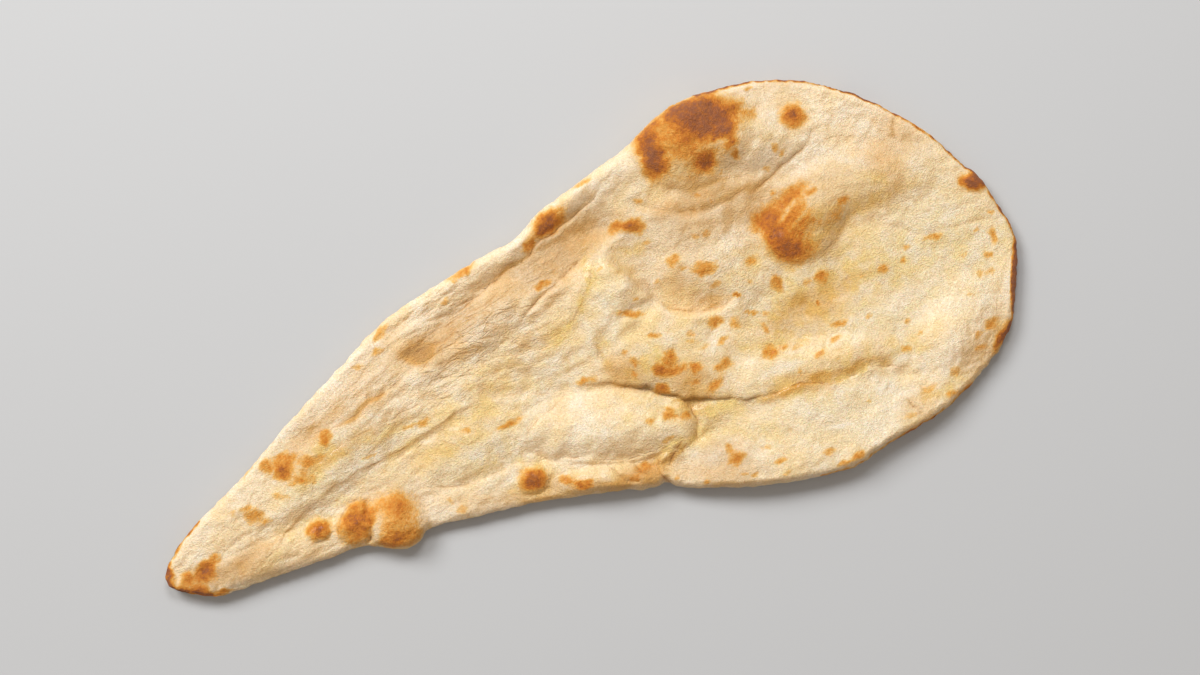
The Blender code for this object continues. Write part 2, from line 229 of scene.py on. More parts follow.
# Scorches: centre x and y, half length, half width, turn in degrees, heat from 0 to 1
SCORCHES = (
    # the tail
    (-208.6, -18, 7, 2.6, 82, 0.95), (-203, -27, 6, 2.6, -38, 0.75), (-195, -31, 7, 2.2, -24, 0.75),
    (-187, -33.5, 4, 1.2, -8, 0.6), (-200, -22, 4, 3.6, 0, 0.66), (-191, -22, 5.2, 4.8, 0, 0.84),
    (-186.5, -18, 4, 2.4, 20, 0.6), (-196, -28, 4, 2.6, -30, 0.6), (-160.5, -7, 4.4, 3.6, 0, 0.56),
    (-163, -2, 3, 1.5, -10, 0.42), (-156, -11, 3, 1.4, 0, 0.36), (-169, -2, 2, 2, 0, 0.28),
    (-147, 12, 4, 3, 0, 0.58), (-140, 7, 5, 4.4, 10, 0.78), (-139, 12.5, 3.6, 2.6, 0, 0.6),
    (-134, 11, 3, 2.4, 0, 0.52), (-129, 6.5, 3.6, 3, 0, 0.55), (-135, 1, 5.5, 2.2, 15, 0.46),
    (-123, 6, 4, 1.5, 10, 0.36), (-155, 13.2, 4, 0.9, 35, 0.5), (-146, -3, 4, 1.2, -30, 0.32),
    (-132, -1.5, 4, 1.8, 0, 0.42), (-117, 13.5, 3.6, 3.4, 0, 0.68), (-136, -24, 5.2, 4.8, 0, 0.82),
    (-118.5, -28, 10, 8, 40, 0.78), (-101, -31, 10.5, 10, 20, 0.62), (-98.5, -27, 5, 5, 0, 0.35),
    (-103, -42, 13, 4.2, -8, 0.72), (-121, -23, 6, 2.5, 30, 0.3), (-73.5, 2.5, 3, 2, 0, 0.5),
    (-80, 3.5, 3.4, 1.2, 0, 0.42), (-56, -8, 2.6, 1.1, 0, 0.45), (-101, -2, 4, 0.9, 0, 0.4),
    (-75, -35, 1.8, 2.4, 0, 0.4), (-72, -41, 3, 1.6, 0, 0.36), (-75, 48, 5, 2.2, 25, 0.5),
    (-80, 40.5, 4, 1.5, 0, 0.45), (-91, 37.5, 3, 1.4, 0, 0.4), (-30, 59.3, 7, 2.2, 8, 0.62),
    (-43, 50, 2.4, 1.4, 0, 0.35),
    # the middle
    (15, 65.2, 9, 5, 14, 0.84), (13, 63, 4.5, 2, 10, 0.95), (3, 58.6, 4.6, 2.4, 25, 0.7),
    (35, 75.3, 5, 1, 10, 0.5), (1.5, 39.5, 4.2, 1.8, 0, 0.62), (44, 50.5, 6, 2.6, -8, 0.7),
    (50.5, 48, 5, 3.6, -25, 0.72), (28, 35.5, 1.5, 1, 0, 0.4), (33, 12, 6.4, 1.6, -24, 0.58),
    (37.5, 17, 2, 0.9, 0, 0.45), (2, -8, 5, 1.5, -8, 0.55), (-38, -13, 6.5, 1.4, 0, 0.56),
    (-37, -40.5, 6.6, 5.2, 0, 0.86), (-23, -46.5, 3, 2.2, -20, 0.6), (-17, -51.5, 5, 2.6, -25, 0.74),
    (6, -58, 3, 1.8, 0, 0.5), (12, -55, 4, 2.4, 0, 0.56), (22, -36.5, 2.4, 1.8, 0, 0.48),
    (32, -37, 3, 2.8, 0, 0.6), (38, -40.5, 2.8, 1.8, 0, 0.54), (26, -47, 4, 1.3, 0, 0.4),
    (24, -4, 2, 1, 0, 0.45), (26, -9, 2.4, 1.8, 0, 0.5), (24, -14, 1.4, 2, 0, 0.45),
    (39, -1.5, 3, 1.4, -25, 0.52), (36, -17, 4.2, 3, -45, 0.78), (42, -14, 3.6, 4, 0, 0.6),
    (42, -20, 5, 2, 0, 0.66), (51, -22, 3, 2.8, 0, 0.64), (33, -25, 4, 2.4, -35, 0.7),
    (63, -26, 4.6, 2.8, 0, 0.6), (56, -33, 5.4, 2.6, 20, 0.6), (48, -28, 3, 1.4, 0, 0.45),
    (67, -6.5, 4, 2.8, 0, 0.62), (67, -15.5, 3, 1.8, 0, 0.52), (55, -7, 1.6, 1.6, 0, 0.32),
    (54, -10.5, 2.4, 1.2, 0, 0.34), (58, -15, 2.6, 1.4, 0, 0.3), (76, -10.5, 3, 2.6, -30, 0.46),
    (84.5, -9, 3, 1.3, -30, 0.58), (90, -11.5, 2, 1.2, 0, 0.5), (87.5, -18, 1.4, 2, 0, 0.48),
    (85, -29, 3.8, 3, 0, 0.6), (91.5, -28.5, 1.6, 1.4, 0, 0.5), (97, -32, 3, 1.2, 0, 0.34),
    (60, 27, 4, 2.6, 0, 0.56), (63, 21.5, 2.4, 1.4, 0, 0.42), (72, 18, 6.4, 3, -15, 0.62),
    (74, 9, 3, 1.5, 0, 0.42), (50.5, 21, 1.8, 1.3, 0, 0.36), (52, 38.5, 2, 1.3, 0, 0.36),
    (56, 58, 2.4, 1.4, -30, 0.5), (74, 33, 2, 1.2, 0, 0.4), (79, 32, 2, 1.2, 0, 0.4),
    (93, 13, 3.4, 2.6, 0, 0.5), (89, 4, 1.6, 1.8, 0, 0.36), (100, -1, 2.6, 4, 0, 0.58),
    (120, -6, 3.4, 3.2, 0, 0.66), (113, -6, 2.2, 1.8, 0, 0.42),
    # the big blister and above it
    (98, 81, 14, 12, -25, 1.0), (88, 88, 8, 4.5, -5, 0.9), (103, 74, 7, 5, -20, 0.85),
    (69, 74, 5.4, 11, -14, 0.92), (72, 85, 8, 5, 30, 0.74), (72, 69, 4, 5, 20, 0.8),
    (82, 76, 9, 10, 0, 0.58), (92, 68, 9, 4, 0, 0.3), (80, 62, 6, 5, -30, 0.2),
    (106, 66, 2.6, 2.6, 0, 0.55), (91, 62, 6.6, 4.6, 20, 0.84), (104, 66, 3, 3, 0, 0.62),
    (104, 60, 2.2, 2, 0, 0.6), (96, 55, 1.6, 1.1, 0, 0.5), (113, 80, 4.4, 4.2, 0, 0.55),
    (118, 75, 4, 2.6, 0, 0.46), (82, 50, 2.2, 1.5, -20, 0.5), (87, 44.5, 1.3, 1.3, 0, 0.42),
    (122, 86, 1.6, 1.2, 0, 0.5), (136, 66.5, 6, 5.6, -20, 0.8), (122, 56, 1.6, 2.6, 15, 0.46),
    (125, 52.5, 1.6, 2, 0, 0.46), (115, 49, 2, 1, 0, 0.35),
    # the second blister
    (114, 21, 11, 14, -20, 0.64), (108.5, 15, 5, 10, 14, 0.75), (108.5, 26, 5.5, 6, 0, 0.6),
    (115, 8.5, 8, 4.5, -10, 0.68), (123, 34, 7.5, 3.4, 15, 0.58), (121, 24, 6, 8, 0, 0.3),
    (103, 28.5, 5.4, 4, 25, 0.55), (142, 22, 3.2, 2, 15, 0.62), (136, 17, 6, 2.6, 20, 0.42),
    (127, 18, 2, 1.6, 0, 0.5), (130, 31, 2.2, 1.6, 0, 0.6), (115, 38, 1.6, 1.2, 0, 0.4),
    # the right of the head
    (199.4, 7.4, 5.4, 4, -22, 0.9), (201.4, 7, 4, 3.4, -20, 0.9), (147, -13.5, 2.8, 2.4, 0, 0.62),
    (157.5, -13.5, 1.9, 2, 0, 0.58), (161, -9, 1.6, 1.3, 0, 0.45), (174, -9, 4.4, 1.6, -8, 0.6),
    (193, -14, 2.4, 1, -20, 0.45), (203, -9, 2.2, 1, 10, 0.5), (199.5, -19, 2, 4, -10, 0.56),
    (194, -26.5, 2, 1.6, 0, 0.46), (184, -22, 2, 1.4, 0, 0.38), (192, -34, 2.6, 1.8, 0, 0.4),
    (187, -33, 1.8, 1.4, 0, 0.34), (179, -40, 2, 1, 0, 0.36), (148, -40, 2, 1.4, 0, 0.46),
    (151.5, -47.5, 1.4, 1.2, 0, 0.4), (142.5, -52, 2.4, 1.8, 0, 0.5), (137, -13.5, 1.6, 1.3, 0, 0.36),
    (183, -56, 3.6, 3, 20, 0.62), (186, -63.5, 8.5, 3.2, 38, 0.86), (176, -58, 2, 1.3, 0, 0.4),
    (174, -64, 3, 1.8, 0, 0.44), (159, -69, 3, 1.8, 0, 0.44), (145, -72, 4, 1.8, 0, 0.36),
    (154, -78, 4, 1.6, 10, 0.46), (163, -79, 3, 1.2, 20, 0.55), (119, -29, 3.8, 1.5, 0, 0.6),
    (115, -35, 2.6, 1.4, 20, 0.54), (105.5, -38.5, 2.2, 1.6, 20, 0.54), (94, -41.5, 1.4, 1.1, 0, 0.46),
    (133, -31, 1.8, 1.8, 0, 0.42),
    # the lower band
    (103, -87.5, 4, 1.8, 10, 0.62), (96, -88, 3, 1.3, 0, 0.55), (92, -80.5, 3.6, 1.8, 0, 0.46),
    (70, -76, 2.8, 1.6, 0, 0.52), (71, -82, 2, 1.2, 0, 0.36), (66, -68, 2, 1, 0, 0.32),
    (133, -80, 3, 1.6, 0, 0.34), (24, -65, 1.3, 1, 0, 0.45), (35, -72, 2, 1.3, 0, 0.52),
    (52.5, -67.5, 4.2, 3.2, 0, 0.7), (50.5, -62.5, 1.8, 3, 0, 0.5), (53, -75.5, 1.8, 1.1, 0, 0.45),
    (114.8, -16.5, 1.4, 1.2, 20, 1.0), (81.5, 1.2, 1.5, 1.0, -25, 0.9), (57, -77, 1.8, 1.1, 0, 0.45),
    (117.5, -66.5, 1.2, 0.7, 0, 0.4),
)

# Faint toasting along folds, partly painted shade in the folds and on the lee of the ridge: strength, half width,
# then the points that it runs through
TOASTED_AND_SHADED_LINES = {
    "tail groove": (0.08, 2.6, (-182, -26), (-166.5, -23.8), (-154, -20), (-144, -14.5), (-134, -10),
        (-119, -7.5), (-89, -3.8)),
    "rust line": (0.9, 1.1, (-108, 16.4), (-98, 18.3), (-90.7, 21), (-84, 22)),
    "rim roll": (0.4, 1.4, (-22.5, 49.3), (-4, 53.6), (2.4, 55.6), (9, 59), (17, 61), (29.6, 64.6),
        (41, 69.4)),
    "lap": (0.3, 0.8, (-2, -9.4), (19, -18), (32, -28), (41, -33), (61, -41), (74, -46)),
    "above the band": (0.45, 1.8, (80, -43), (92, -43.5), (102, -47), (112, -49.5), (124, -50),
        (136, -54)),
    "pleat": (0.6, 2.5, (-24, -52), (-8, -56), (6, -59), (16, -57)),
    "brown line": (0.7, 0.9, (22.4, -59.3), (27, -55), (32.8, -50.7)),
    "lower side of the ridge": (0.12, 3.0, (118, 5), (135, 10), (150, 14), (166, 14)),
}

# Tan on the crust, mostly on the slopes: partly toasting, partly painted shade where slopes face away from the
# light; centre x and y, half length, half width, turn in degrees, amount
TANNED_AND_SHADED = (
    (-63, 32.5, 8.5, 6, -10, 0.85), (-50, 34, 20, 6, 5, 0.25), (-45, 37, 16, 4, 0, 0.3),
    (78, 34, 26, 9, -5, 0.2), (48, 39, 11, 9, 0, 0.2), (6, 38, 12, 8, 20, 0.4), (-3, 52, 20, 4, 15, 0.35),
    (-187, -26, 18, 4, -2, 0.4), (-120, 20, 26, 4, 22, 0.35), (140, 84, 16, 4, -25, 0.3),
    (40, -72, 20, 6, -25, 0.4), (140, -76, 10, 6, 15, 0.4), (96, -50, 12, 3, -15, 0.6),
    (20, -56, 10, 7, -20, 0.25), (86, 46, 25, 5, -2, 0.8), (84, 36, 22, 8, 0, 0.35),
    (166, 32, 9, 14, 20, 0.5), (46, -70, 16, 6, -30, 0.35), (-85, 39, 22, 4, 25, 0.3),
    (-125, 17, 20, 4, 24, 0.35), (66, 50, 9, 6, -40, 0.4), (84, 50.5, 16, 3.5, 0, 0.6),
    (20, 53, 24, 7, 15, 0.15), (15, -58, 3, 5, -10, 0.9), (70, 22, 10, 7, 0, 0.3),
    (-95, 18.5, 17, 3.5, 15, 0.4), (-28, -46, 12, 4, -15, 0.35), (53, -64, 10, 5, -20, 0.35),
    (18, -58, 5, 4, 0, 0.5), (87, 74, 8, 8, 0, 0.4), (-110, -24, 7, 6, 0, 0.4), (42, 24, 4, 15, 28, 0.25),
    (54, 19, 8, 18, 25, 0.2), (62, 17, 14, 8, -20, 0.25), (150, 14, 28, 7, 5, 0.12),
    (172, 44, 6, 9, -20, 0.25), (112, -16, 24, 8, 8, 0.5), (22, 51, 24, 7, 12, 0.3),
    (-5, 16, 12, 6, 10, 0.1), (-40, 41, 34, 4, 8, 0.2), (-92, 28, 26, 5, 25, 0.3),
    (78, 56, 16, 5, -25, 0.5), (20, -11, 10, 8, -30, 0.7), (44, -31, 8, 14, -20, 0.6),
    (-184, -25.5, 18, 5, -2, 0.6), (-172, -22.5, 20, 3, 8, 0.4), (-123, 3, 14, 2.2, 8, 0.4),
    (-34, -48, 36, 5, -14, 0.55), (106, -20, 26, 10, 0, 0.25), (177, 44, 7, 17, 35, 0.4),
    (-106, 8, 26, 2.5, 12, 0.35), (68, 2.5, 13, 3.5, -10, 0.6), (108, 24, 5, 9, 10, 0.4),
    (-70, -31, 30, 5, 0, 0.12), (-160, -31, 32, 5, -2, 0.1), (50, -28, 22, 7, -28, 0.34),
    (88, -47.8, 18, 2.4, -4, 0.95), (120, -46, 20, 5, -3, 0.25), (-14, -41, 22, 4, -24, 0.12),
    (4, -58, 14, 5, 0, 0.5), (-102, -34, 20, 13, 30, 0.35), (-150, -17, 18, 3, 22, 0.1),
    (-40, 30, 22, 5, 12, 0.2), (8, 47, 34, 7, 12, 0.4), (176, -62, 22, 9, 40, 0.4),
    (-120, 16, 26, 8, 20, 0.2), (-70, -10, 24, 8, 8, 0.15), (92, 75, 30, 22, 0, 0.25),
    (120, 24, 26, 22, 0, 0.3),
)

# Stains, darker and browner than the tan around them: centre x and y, half length, half width, turn, amount
STAINS = (
    (-63, 32.5, 8, 4.6, -10, 0.28), (-50, 33, 10, 4, 10, 0.1),
)

# Painted shade: grey darkening where the crust lies in shade; centre x and y, half length, half width, turn in
# degrees, amount
SHADED_PATCHES = (
    (76, 37, 22, 9, -8, 0.35), (46, 42, 15, 13, 0, 0.5), (15, 50, 30, 11, 14, 0.9),
    (80, 46, 22, 5, -4, 0.8), (-40, 38, 32, 7, 6, 0.8), (130, 33, 34, 6, -4, 0.6),
    (122, 71, 22, 7, -15, 0.45), (-5, 54, 22, 5, 15, 0.6), (-20, -10, 22, 6, 10, 0.4),
    (-128, 22, 30, 4, 24, 0.25), (-110, 7, 26, 3, 12, 0.45), (50, -67, 16, 9, -25, 0.6),
    (138, 84, 18, 5, -25, 0.5), (182, 30, 8, 14, 30, 0.3), (180, -65, 14, 6, 40, 0.3),
    (-188, -25, 20, 5, -4, 0.75), (-176, -23.5, 26, 4, 8, 0.6), (24, 52, 26, 7, 12, 0.4),
    (160, 34, 26, 8, -8, 0.4), (-96, -28, 7, 9, 0, 0.5), (5, -55, 9, 5, 0, 0.5), (92, 62, 20, 6, -8, 0.3),
    (-160, -31, 26, 3, 0, 0.2), (126, 80, 26, 9, -12, 0.35), (28, -14, 8, 10, 0, 0.4),
    (-70, -40, 30, 5, -8, 0.4),
)

# Pale, dry crust and painted light: paler patches, some on lips and ridges that face the light, and one thin
# painted butter glint; centre x and y, half length, half width, turn in degrees, amount
PALED_AND_LIT = (
    (174, -12, 34, 22, -10, 0.4), (105, -68, 32, 12, -5, 0.4), (8, -40, 16, 9, -20, 0.4),
    (-72, -24, 22, 8, 0, 0.5), (-112, -8, 34, 3.5, 17, 0.8), (120, 52, 20, 9, -8, 0.6),
    (154, 56, 10, 6, -30, 0.3), (62, 38, 10, 8, 0, 0.4), (-8, 28, 12, 6, 10, 0.5),
    (148, -34, 28, 8, -5, 0.6), (88, 0, 10, 7, 0, 0.5), (-30, -24, 9, 7, 0, 0.5),
    (170, -56, 12, 6, 20, 0.5), (96, 32, 10, 5, 20, 0.5), (-122, 19, 12, 4, 24, 0.4),
    (110, 5, 8, 4, -30, 0.4), (-158, 3, 10, 6, 20, 0.5), (-196, -12, 9, 6, 30, 0.4),
    (-90, -28, 6, 7, 0, 0.5), (28, 66, 10, 3, 18, 0.5), (112, 54, 10, 4, 0, 0.5),
    (-118, -8, 30, 5, 16, 0.5), (200, -45, 5, 12, -25, 0.4), (86, -38, 14, 3, -10, 0.8),
    (-58, 20, 10, 4, 5, 0.6), (-52, -20, 10, 5, 0, 0.6), (-118, -3, 22, 3, 18, 0.6),
    (100.5, -72, 7.5, 1.1, -17, 1.0), (66, 44, 7, 4, -20, 0.4), (45, 16, 5, 6, 0, 0.4),
)

# Streaks and islands left pale inside scorches: centre x and y, half length, half width, turn, amount
SPARED = (
    (117, 27.5, 7, 1.1, 32, 0.6), (122, 23, 7, 0.9, 28, 0.6), (125, 17, 6, 0.9, 22, 0.5),
    (119, 12, 5, 0.8, 60, 0.4), (127, 11.5, 5, 0.9, 12, 0.5), (129, 27, 5, 1.0, 35, 0.5),
    (-110, -32.5, 2.0, 8, -38, 0.85), (98, 67.5, 7, 1.2, -5, 0.5), (78, 64, 5, 3, -40, 0.6),
    (-104, -31, 4, 3, 20, 0.3),
)

# Finely wrinkled skin: centre x and y, half length, half width, turn in degrees, amount
WRINKLED = (
    (-35, 28, 70, 26, 12, 0.9), (82, 10, 34, 26, -10, 0.4), (-60, 0, 60, 20, 6, 0.35),
    (150, 8, 50, 18, 0, 0.2), (110, 50, 60, 30, 0, 0.12), (110, -30, 80, 26, 0, 0.15),
    (20, -56, 22, 9, -20, 0.9), (93, 80, 16, 12, 0, 0.5),
)

# Butter: centre x and y, half length, half width, turn in degrees, amount
BUTTERED = (
    (125, -12, 48, 15, 4, 0.9), (122, 15, 22, 9, 0, 0.6), (140, -42, 32, 13, 6, 0.45),
    (100, -64, 50, 14, -5, 0.5), (26, 42, 5, 16, -8, 0.7), (42, 60, 14, 7, 20, 0.2),
    (0, 16, 8, 6, 0, 0.7), (15, 4, 9, 6, 0, 0.6), (-60, -20, 36, 14, -5, 0.7),
    (-130, -14, 46, 6, 22, 0.8), (-37, -41, 12, 9, 0, 0.9), (-136, -24, 8, 7, 0, 0.8),
    (38, -16, 16, 12, -30, 0.7), (0, -35, 34, 12, -20, 0.15), (-30, 15, 40, 14, 10, 0.35),
    (-112, -2, 26, 5, 12, 0.7), (176, -15, 30, 14, -10, 0.5), (30, -54, 14, 7, -10, 0.6),
    (88, 64, 14, 8, 0, 0.4), (35, 38, 13, 14, 0, 0.4), (80, 58, 22, 9, 0, 0.3), (-110, 4, 42, 6, 6, 0.7),
    (-50, -4, 62, 15, 5, 0.6), (28, -10, 15, 12, 0, 0.7), (46, -38, 11, 11, 0, 0.9),
    (108, -49, 38, 5, -5, 1.0), (160, -12, 24, 10, -5, 0.8), (125, -5, 85, 34, 0, 0.45),
    (40, 15, 52, 32, 0, 0.3), (50, -42, 66, 15, -12, 0.5), (-120, 0, 42, 11, 20, 0.45),
    (100, -80, 60, 12, -3, 0.22), (70, 66, 26, 12, 0, 0.35), (185, -15, 20, 40, 0, 0.3),
    (-20, -48, 50, 8, -14, 0.5), (126, 12, 24, 9, 10, 0.8), (165, 22, 20, 8, 0, 0.4),
    (26, -50, 16, 6, 0, 0.9), (110, -49, 40, 5, -5, 0.7), (160, -13, 14, 5, 0, 0.6),
    (150, -75, 16, 6, 12, 0.6), (-48, -22, 14, 12, 0, 0.5), (48, 42, 8, 6, 0, 0.6),
    (-100, 6, 40, 5, 12, 0.4), (90, -30, 40, 10, -10, 0.4), (25, -25, 24, 8, -30, 0.4),
    (156, -14, 14, 6, 0, 0.7), (100, 8, 30, 16, 0, 0.4), (165, 15, 24, 10, 0, 0.4),
    (122, 11, 26, 9, 2, 0.7), (30, -47, 12, 4, 0, 0.9), (98, -21, 14, 6, 0, 0.5), (60, -10, 8, 6, 0, 0.4),
    (145, -50, 10, 5, 0, 0.5), (140, 16, 12, 8, 0, 0.5), (105, -45, 36, 5, -3, 0.6),
    (152, -75, 14, 4, 10, 0.7), (92, 55, 14, 6, 0, 0.2), (82, 69, 9, 6, 0, 0.4), (45, 42, 7, 4, 0, 0.5),
    (-50, -20, 9, 7, 0, 0.5), (-85, 38, 10, 4, 25, 0.4), (-140, 18, 10, 4, 25, 0.4),
    (118, 72, 6, 6, 0, 0.5), (204, -22, 5, 10, 0, 0.6), (185, -62, 8, 5, 40, 0.6),
    (178, -16, 26, 24, 0, 0.7), (110, -22, 36, 10, 0, 0.4), (130, 14, 34, 9, 4, 0.5),
    (60, -60, 26, 8, -20, 0.4), (150, -14, 26, 9, 0, 0.5), (142, 18, 26, 8, 0, 0.5),
    (160, -13, 13, 6, 0, 0.7), (120, 60, 14, 8, 0, 0.4), (75, 62, 12, 6, 0, 0.1),
)

# Butter gathered along creases: amount, half width, then the points that it runs through
BUTTER_LINES = {
    "plateau": (0.9, 2.4, (29.6, 45.5), (26.4, 40), (18.4, 28.6), (9.6, 20.6), (0.8, 15), (-7.3, 10)),
    "upright line": (0.9, 2.0, (13.6, 9), (12.8, -0.3), (16.8, -6.7)),
    "mound crease": (1.0, 1.6, (41, -31), (43, -38), (42, -44), (36, -51), (28, -56)),
    "tail": (0.7, 3.0, (-154, -19), (-144, -14), (-134, -9.5), (-119, -7.5), (-106, -5), (-89, -4),
        (-66, -1)),
    "below the lap": (0.7, 3.0, (46, -38), (61, -43.5), (72, -47.5), (90, -48), (102, -52)),
    "valley": (0.8, 3.5, (70, -24), (84, -22), (98, -17), (112, -14), (126, -12), (140, -10)),
    "right ridge": (0.8, 2.5, (120, -33), (132, -34), (146, -36), (160, -34), (172, -30)),
    "body": (0.6, 2.5, (-70, -14), (-56, -22), (-44, -29), (-34, -32)),
}

# Where noise moves what is drawn on the sheet: size of the noise, reach and seed
LINE_STRAY = (7.0, 1.1, 88)
SCORCH_STRAY = (4.5, 1.6, 21)
SPARED_STRAY = (4, 0.8, 25)
STAIN_STRAY = (5, 1.5, 37)
TOAST_AND_SHADE_STRAY = (9, 2.5, 31)
SHADE_PATCH_STRAY = (12, 3, 43)
PALE_AND_LIT_STRAY = (12, 3, 47)
BUTTER_STRAY = (18, 6, 51)
BUTTER_LINE_STRAY = (6, 1.5, 57)

# The rim in millimetres: how uneven it is, how far in its lift reaches and its upright face
RAGGED_SIZE = 4.5
RAGGED_REACH = 0.6
RAGGED_SEED = 83
CURL_REACH = 30.0
CURL_WAVES = 55.0
EDGE_FACE = 1.0
EDGE_CROWDING = 0.2

# The lap in millimetres: how soft its wall is, how far back its rise and its lean reach, and which way it leans.
# Its part is the share of its run over which it rises to its full height.
LAP_WALL = 0.36
LAP_BACK = 24.0
LAP_PART = 0.6
LEAN_REACH = 1.2
LEAN_WAY = (0.25, -0.97)

# Unevenness of the top: heights and sizes in millimetres; the head is calmer than the body
LUMPS = 1.3
LUMP_SIZE = 34.0
DIMPLES = ((0.8, 13, 5, 2), (0.4, 7, 15, 1))
PEBBLE_SIZE = 3.2
CALM_FROM = 115.0
CALM_REACH = 35.0
CALM_SHARE = 0.55
CREASE_SHOULDER = 0.35

# The wrinkled skin: waves and cells along and across the bread, and where the body lies that shows them most
SKIN_WAVES = (8, 22)
LONG_CELLS = (15, 17)
SHORT_CELLS = (44, 24)
CELL_SEED = 7
BODY_X = -35.0
BODY_REACH = 62.0
TAIL_X = -135.0
TAIL_REACH = 50.0

# Drawn lines in millimetres: how far off they are measured and how soon they fade
LINE_REACH = 4.0
LINE_FADE = 1.7
LAP_MARK = 0.5
THIN_LINE = 0.4
WIDE_LINE = 1.3

# Browning of the rim in millimetres: gaps seen from above and on the wall, and how far in the wall's are used
RIM_GAPS = 4
WALL_GAPS = 14
WALL_REACH = 0.8
WALL_SHARE = 0.7
HOLLOW_REACH = 2

# Painted shade: the slopes that face away from the light are tanned; the way to the light, and how much
TO_LIGHT = (-0.386, 0.923)
LEE_SHADE = 0.58
TAN_AND_SHADE_SHARE = 0.6

# Tints that the crust is multiplied by, among them painted shade and painted light, and the cells that the
# wrinkles follow
SHADE_PATCH_TINT = (0.81, 0.775, 0.73, 1)
GRAIN_SHADE_AND_LIGHT_TINTS = ((0.88, 0.825, 0.725, 1), (1.06, 1.07, 1.09, 1))
LINE_SHADE_TINT = (0.62, 0.42, 0.23, 1)
DEEP_TAN_SHADE = (0.5, 0.345, 0.2, 1)
SCORCH_TINTS = (
    (0.08, (1, 1, 1, 1)),
    (0.30, (0.94, 0.76, 0.47, 1)),
    (0.52, (0.85, 0.52, 0.15, 1)),
    (0.74, (0.71, 0.31, 0.03, 1)),
    (0.90, (0.50, 0.185, 0.025, 1)),
    (1.0, (0.31, 0.125, 0.065, 1)),
)
STRETCH_SIZE = (0.21, 0.16)
LARGE_CELL = 9.0
SMALL_CELL = 3.6
BUMP_DISTANCE = 0.33 * MM

# The stage in metres and watts: name, place, size and power of each lamp
FLOOR_HALF = 3.0
FLOOR_GAP = 0.0002
LAMP_AIM = (0.0, 0.0, 0.01)
LAMPS = (
    ("key", (-1.0, 2.39, 2.34), 1.6, 91),
    ("overhead", (0.32, 0.75, 1.1), 0.5, 7.2),
)
LAMP_COLOUR = (0.995, 1.0, 1.0)
SKY_STRENGTH = 0.39
SKY_COLOUR = (1.0, 0.93, 0.86, 1.0)
LENS_MM = 70.0
SENSOR_MM = 36.0
VIEW_X, VIEW_Y = 0.0163, 0.0070
VIEW_HEIGHT = 1.072
VIEW_TURN = 22.75


def length(name, description, millimetres):
    return FloatProperty(name=name, description=description, default=millimetres * MM, unit="LENGTH")


def colour(name, description, value):
    return FloatVectorProperty(name=name, description=description, subtype="COLOR", default=value)


class BreadForm(PropertyGroup):
    """Sizes of the bread that a user would change."""

    sheet: length("Sheet", "Thickness of the plain sheet", 7.5)
    least_sheet: length("Thinnest", "Thickness left under the deepest groove", 3)
    edge_reach: length("Rim round", "How far in from the outline the rim is rounded", 3.8)
    rim_curl: length("Rim lift", "How far the rim lifts off the table", 3)
    lap_height: length("Lap height", "Rise of the sheet at the lap", 1.5)
    lap_lean: length("Lap lean", "How far the lap's lip leans out", 1.3)
    wrinkle_depth: length("Wrinkles", "Depth of the stretch wrinkles on the body", 0.6)
    pebble_height: length("Pebbles", "Height of the small unevenness of the crust", 0.32)
    rows: IntProperty(
        name="Rows", description="Faces across the underside; the top has twice as many", default=94
    )
    columns: IntProperty(
        name="Columns", description="Faces along the underside; the top has twice as many", default=204
    )


class BreadColours(PropertyGroup):
    """Colours of the bread and of its stage."""

    pale: colour("Pale crust", "Least baked crust", (0.975, 0.9, 0.775))
    warm: colour("Warm crust", "Crust as most of it is", (0.925, 0.69, 0.375))
    butter: colour("Butter", "Crust soaked with butter", (0.955, 0.685, 0.215))
    # This tan is also the colour of the painted shade on slopes, in hollows and in folds
    tan: colour("Tan", "Tint of the slopes", (0.78, 0.55, 0.265))
    gold: colour("Golden", "Deeper parts of the underside", (0.62, 0.32, 0.09))
    brown: colour("Brown", "Spots of the underside", (0.38, 0.14, 0.03))
    floor: colour("Floor", "The plain floor", (0.515, 0.52, 0.528))


# Shape


def curve_through(points, steps=8):
    """Points along the smooth curve that passes through the given ones."""
    run = np.array([points[0], *points, points[-1]], float)
    t = np.linspace(0, 1, steps, endpoint=False)[:, None]
    pieces = [
        0.5 * (2 * b + (c - a) * t + (2 * a - 5 * b + 4 * c - d) * t**2 + (3 * b - a - 3 * c + d) * t**3)
        for a, b, c, d in zip(run, run[1:], run[2:], run[3:])
    ]
    return np.vstack([*pieces, run[-1:]])


def lengths_along(curve):
    """The distance travelled at each point of a curve."""
    return np.concatenate([[0], np.cumsum(np.linalg.norm(np.diff(curve, axis=0), axis=1))])


def at_share(points, share):
    """The places at these shares, 0 to 1, of the length of the curve through the points."""
    curve = curve_through(points)
    travelled = lengths_along(curve)
    return np.stack([np.interp(share * travelled[-1], travelled, curve[:, axis]) for axis in (0, 1)], axis=1)


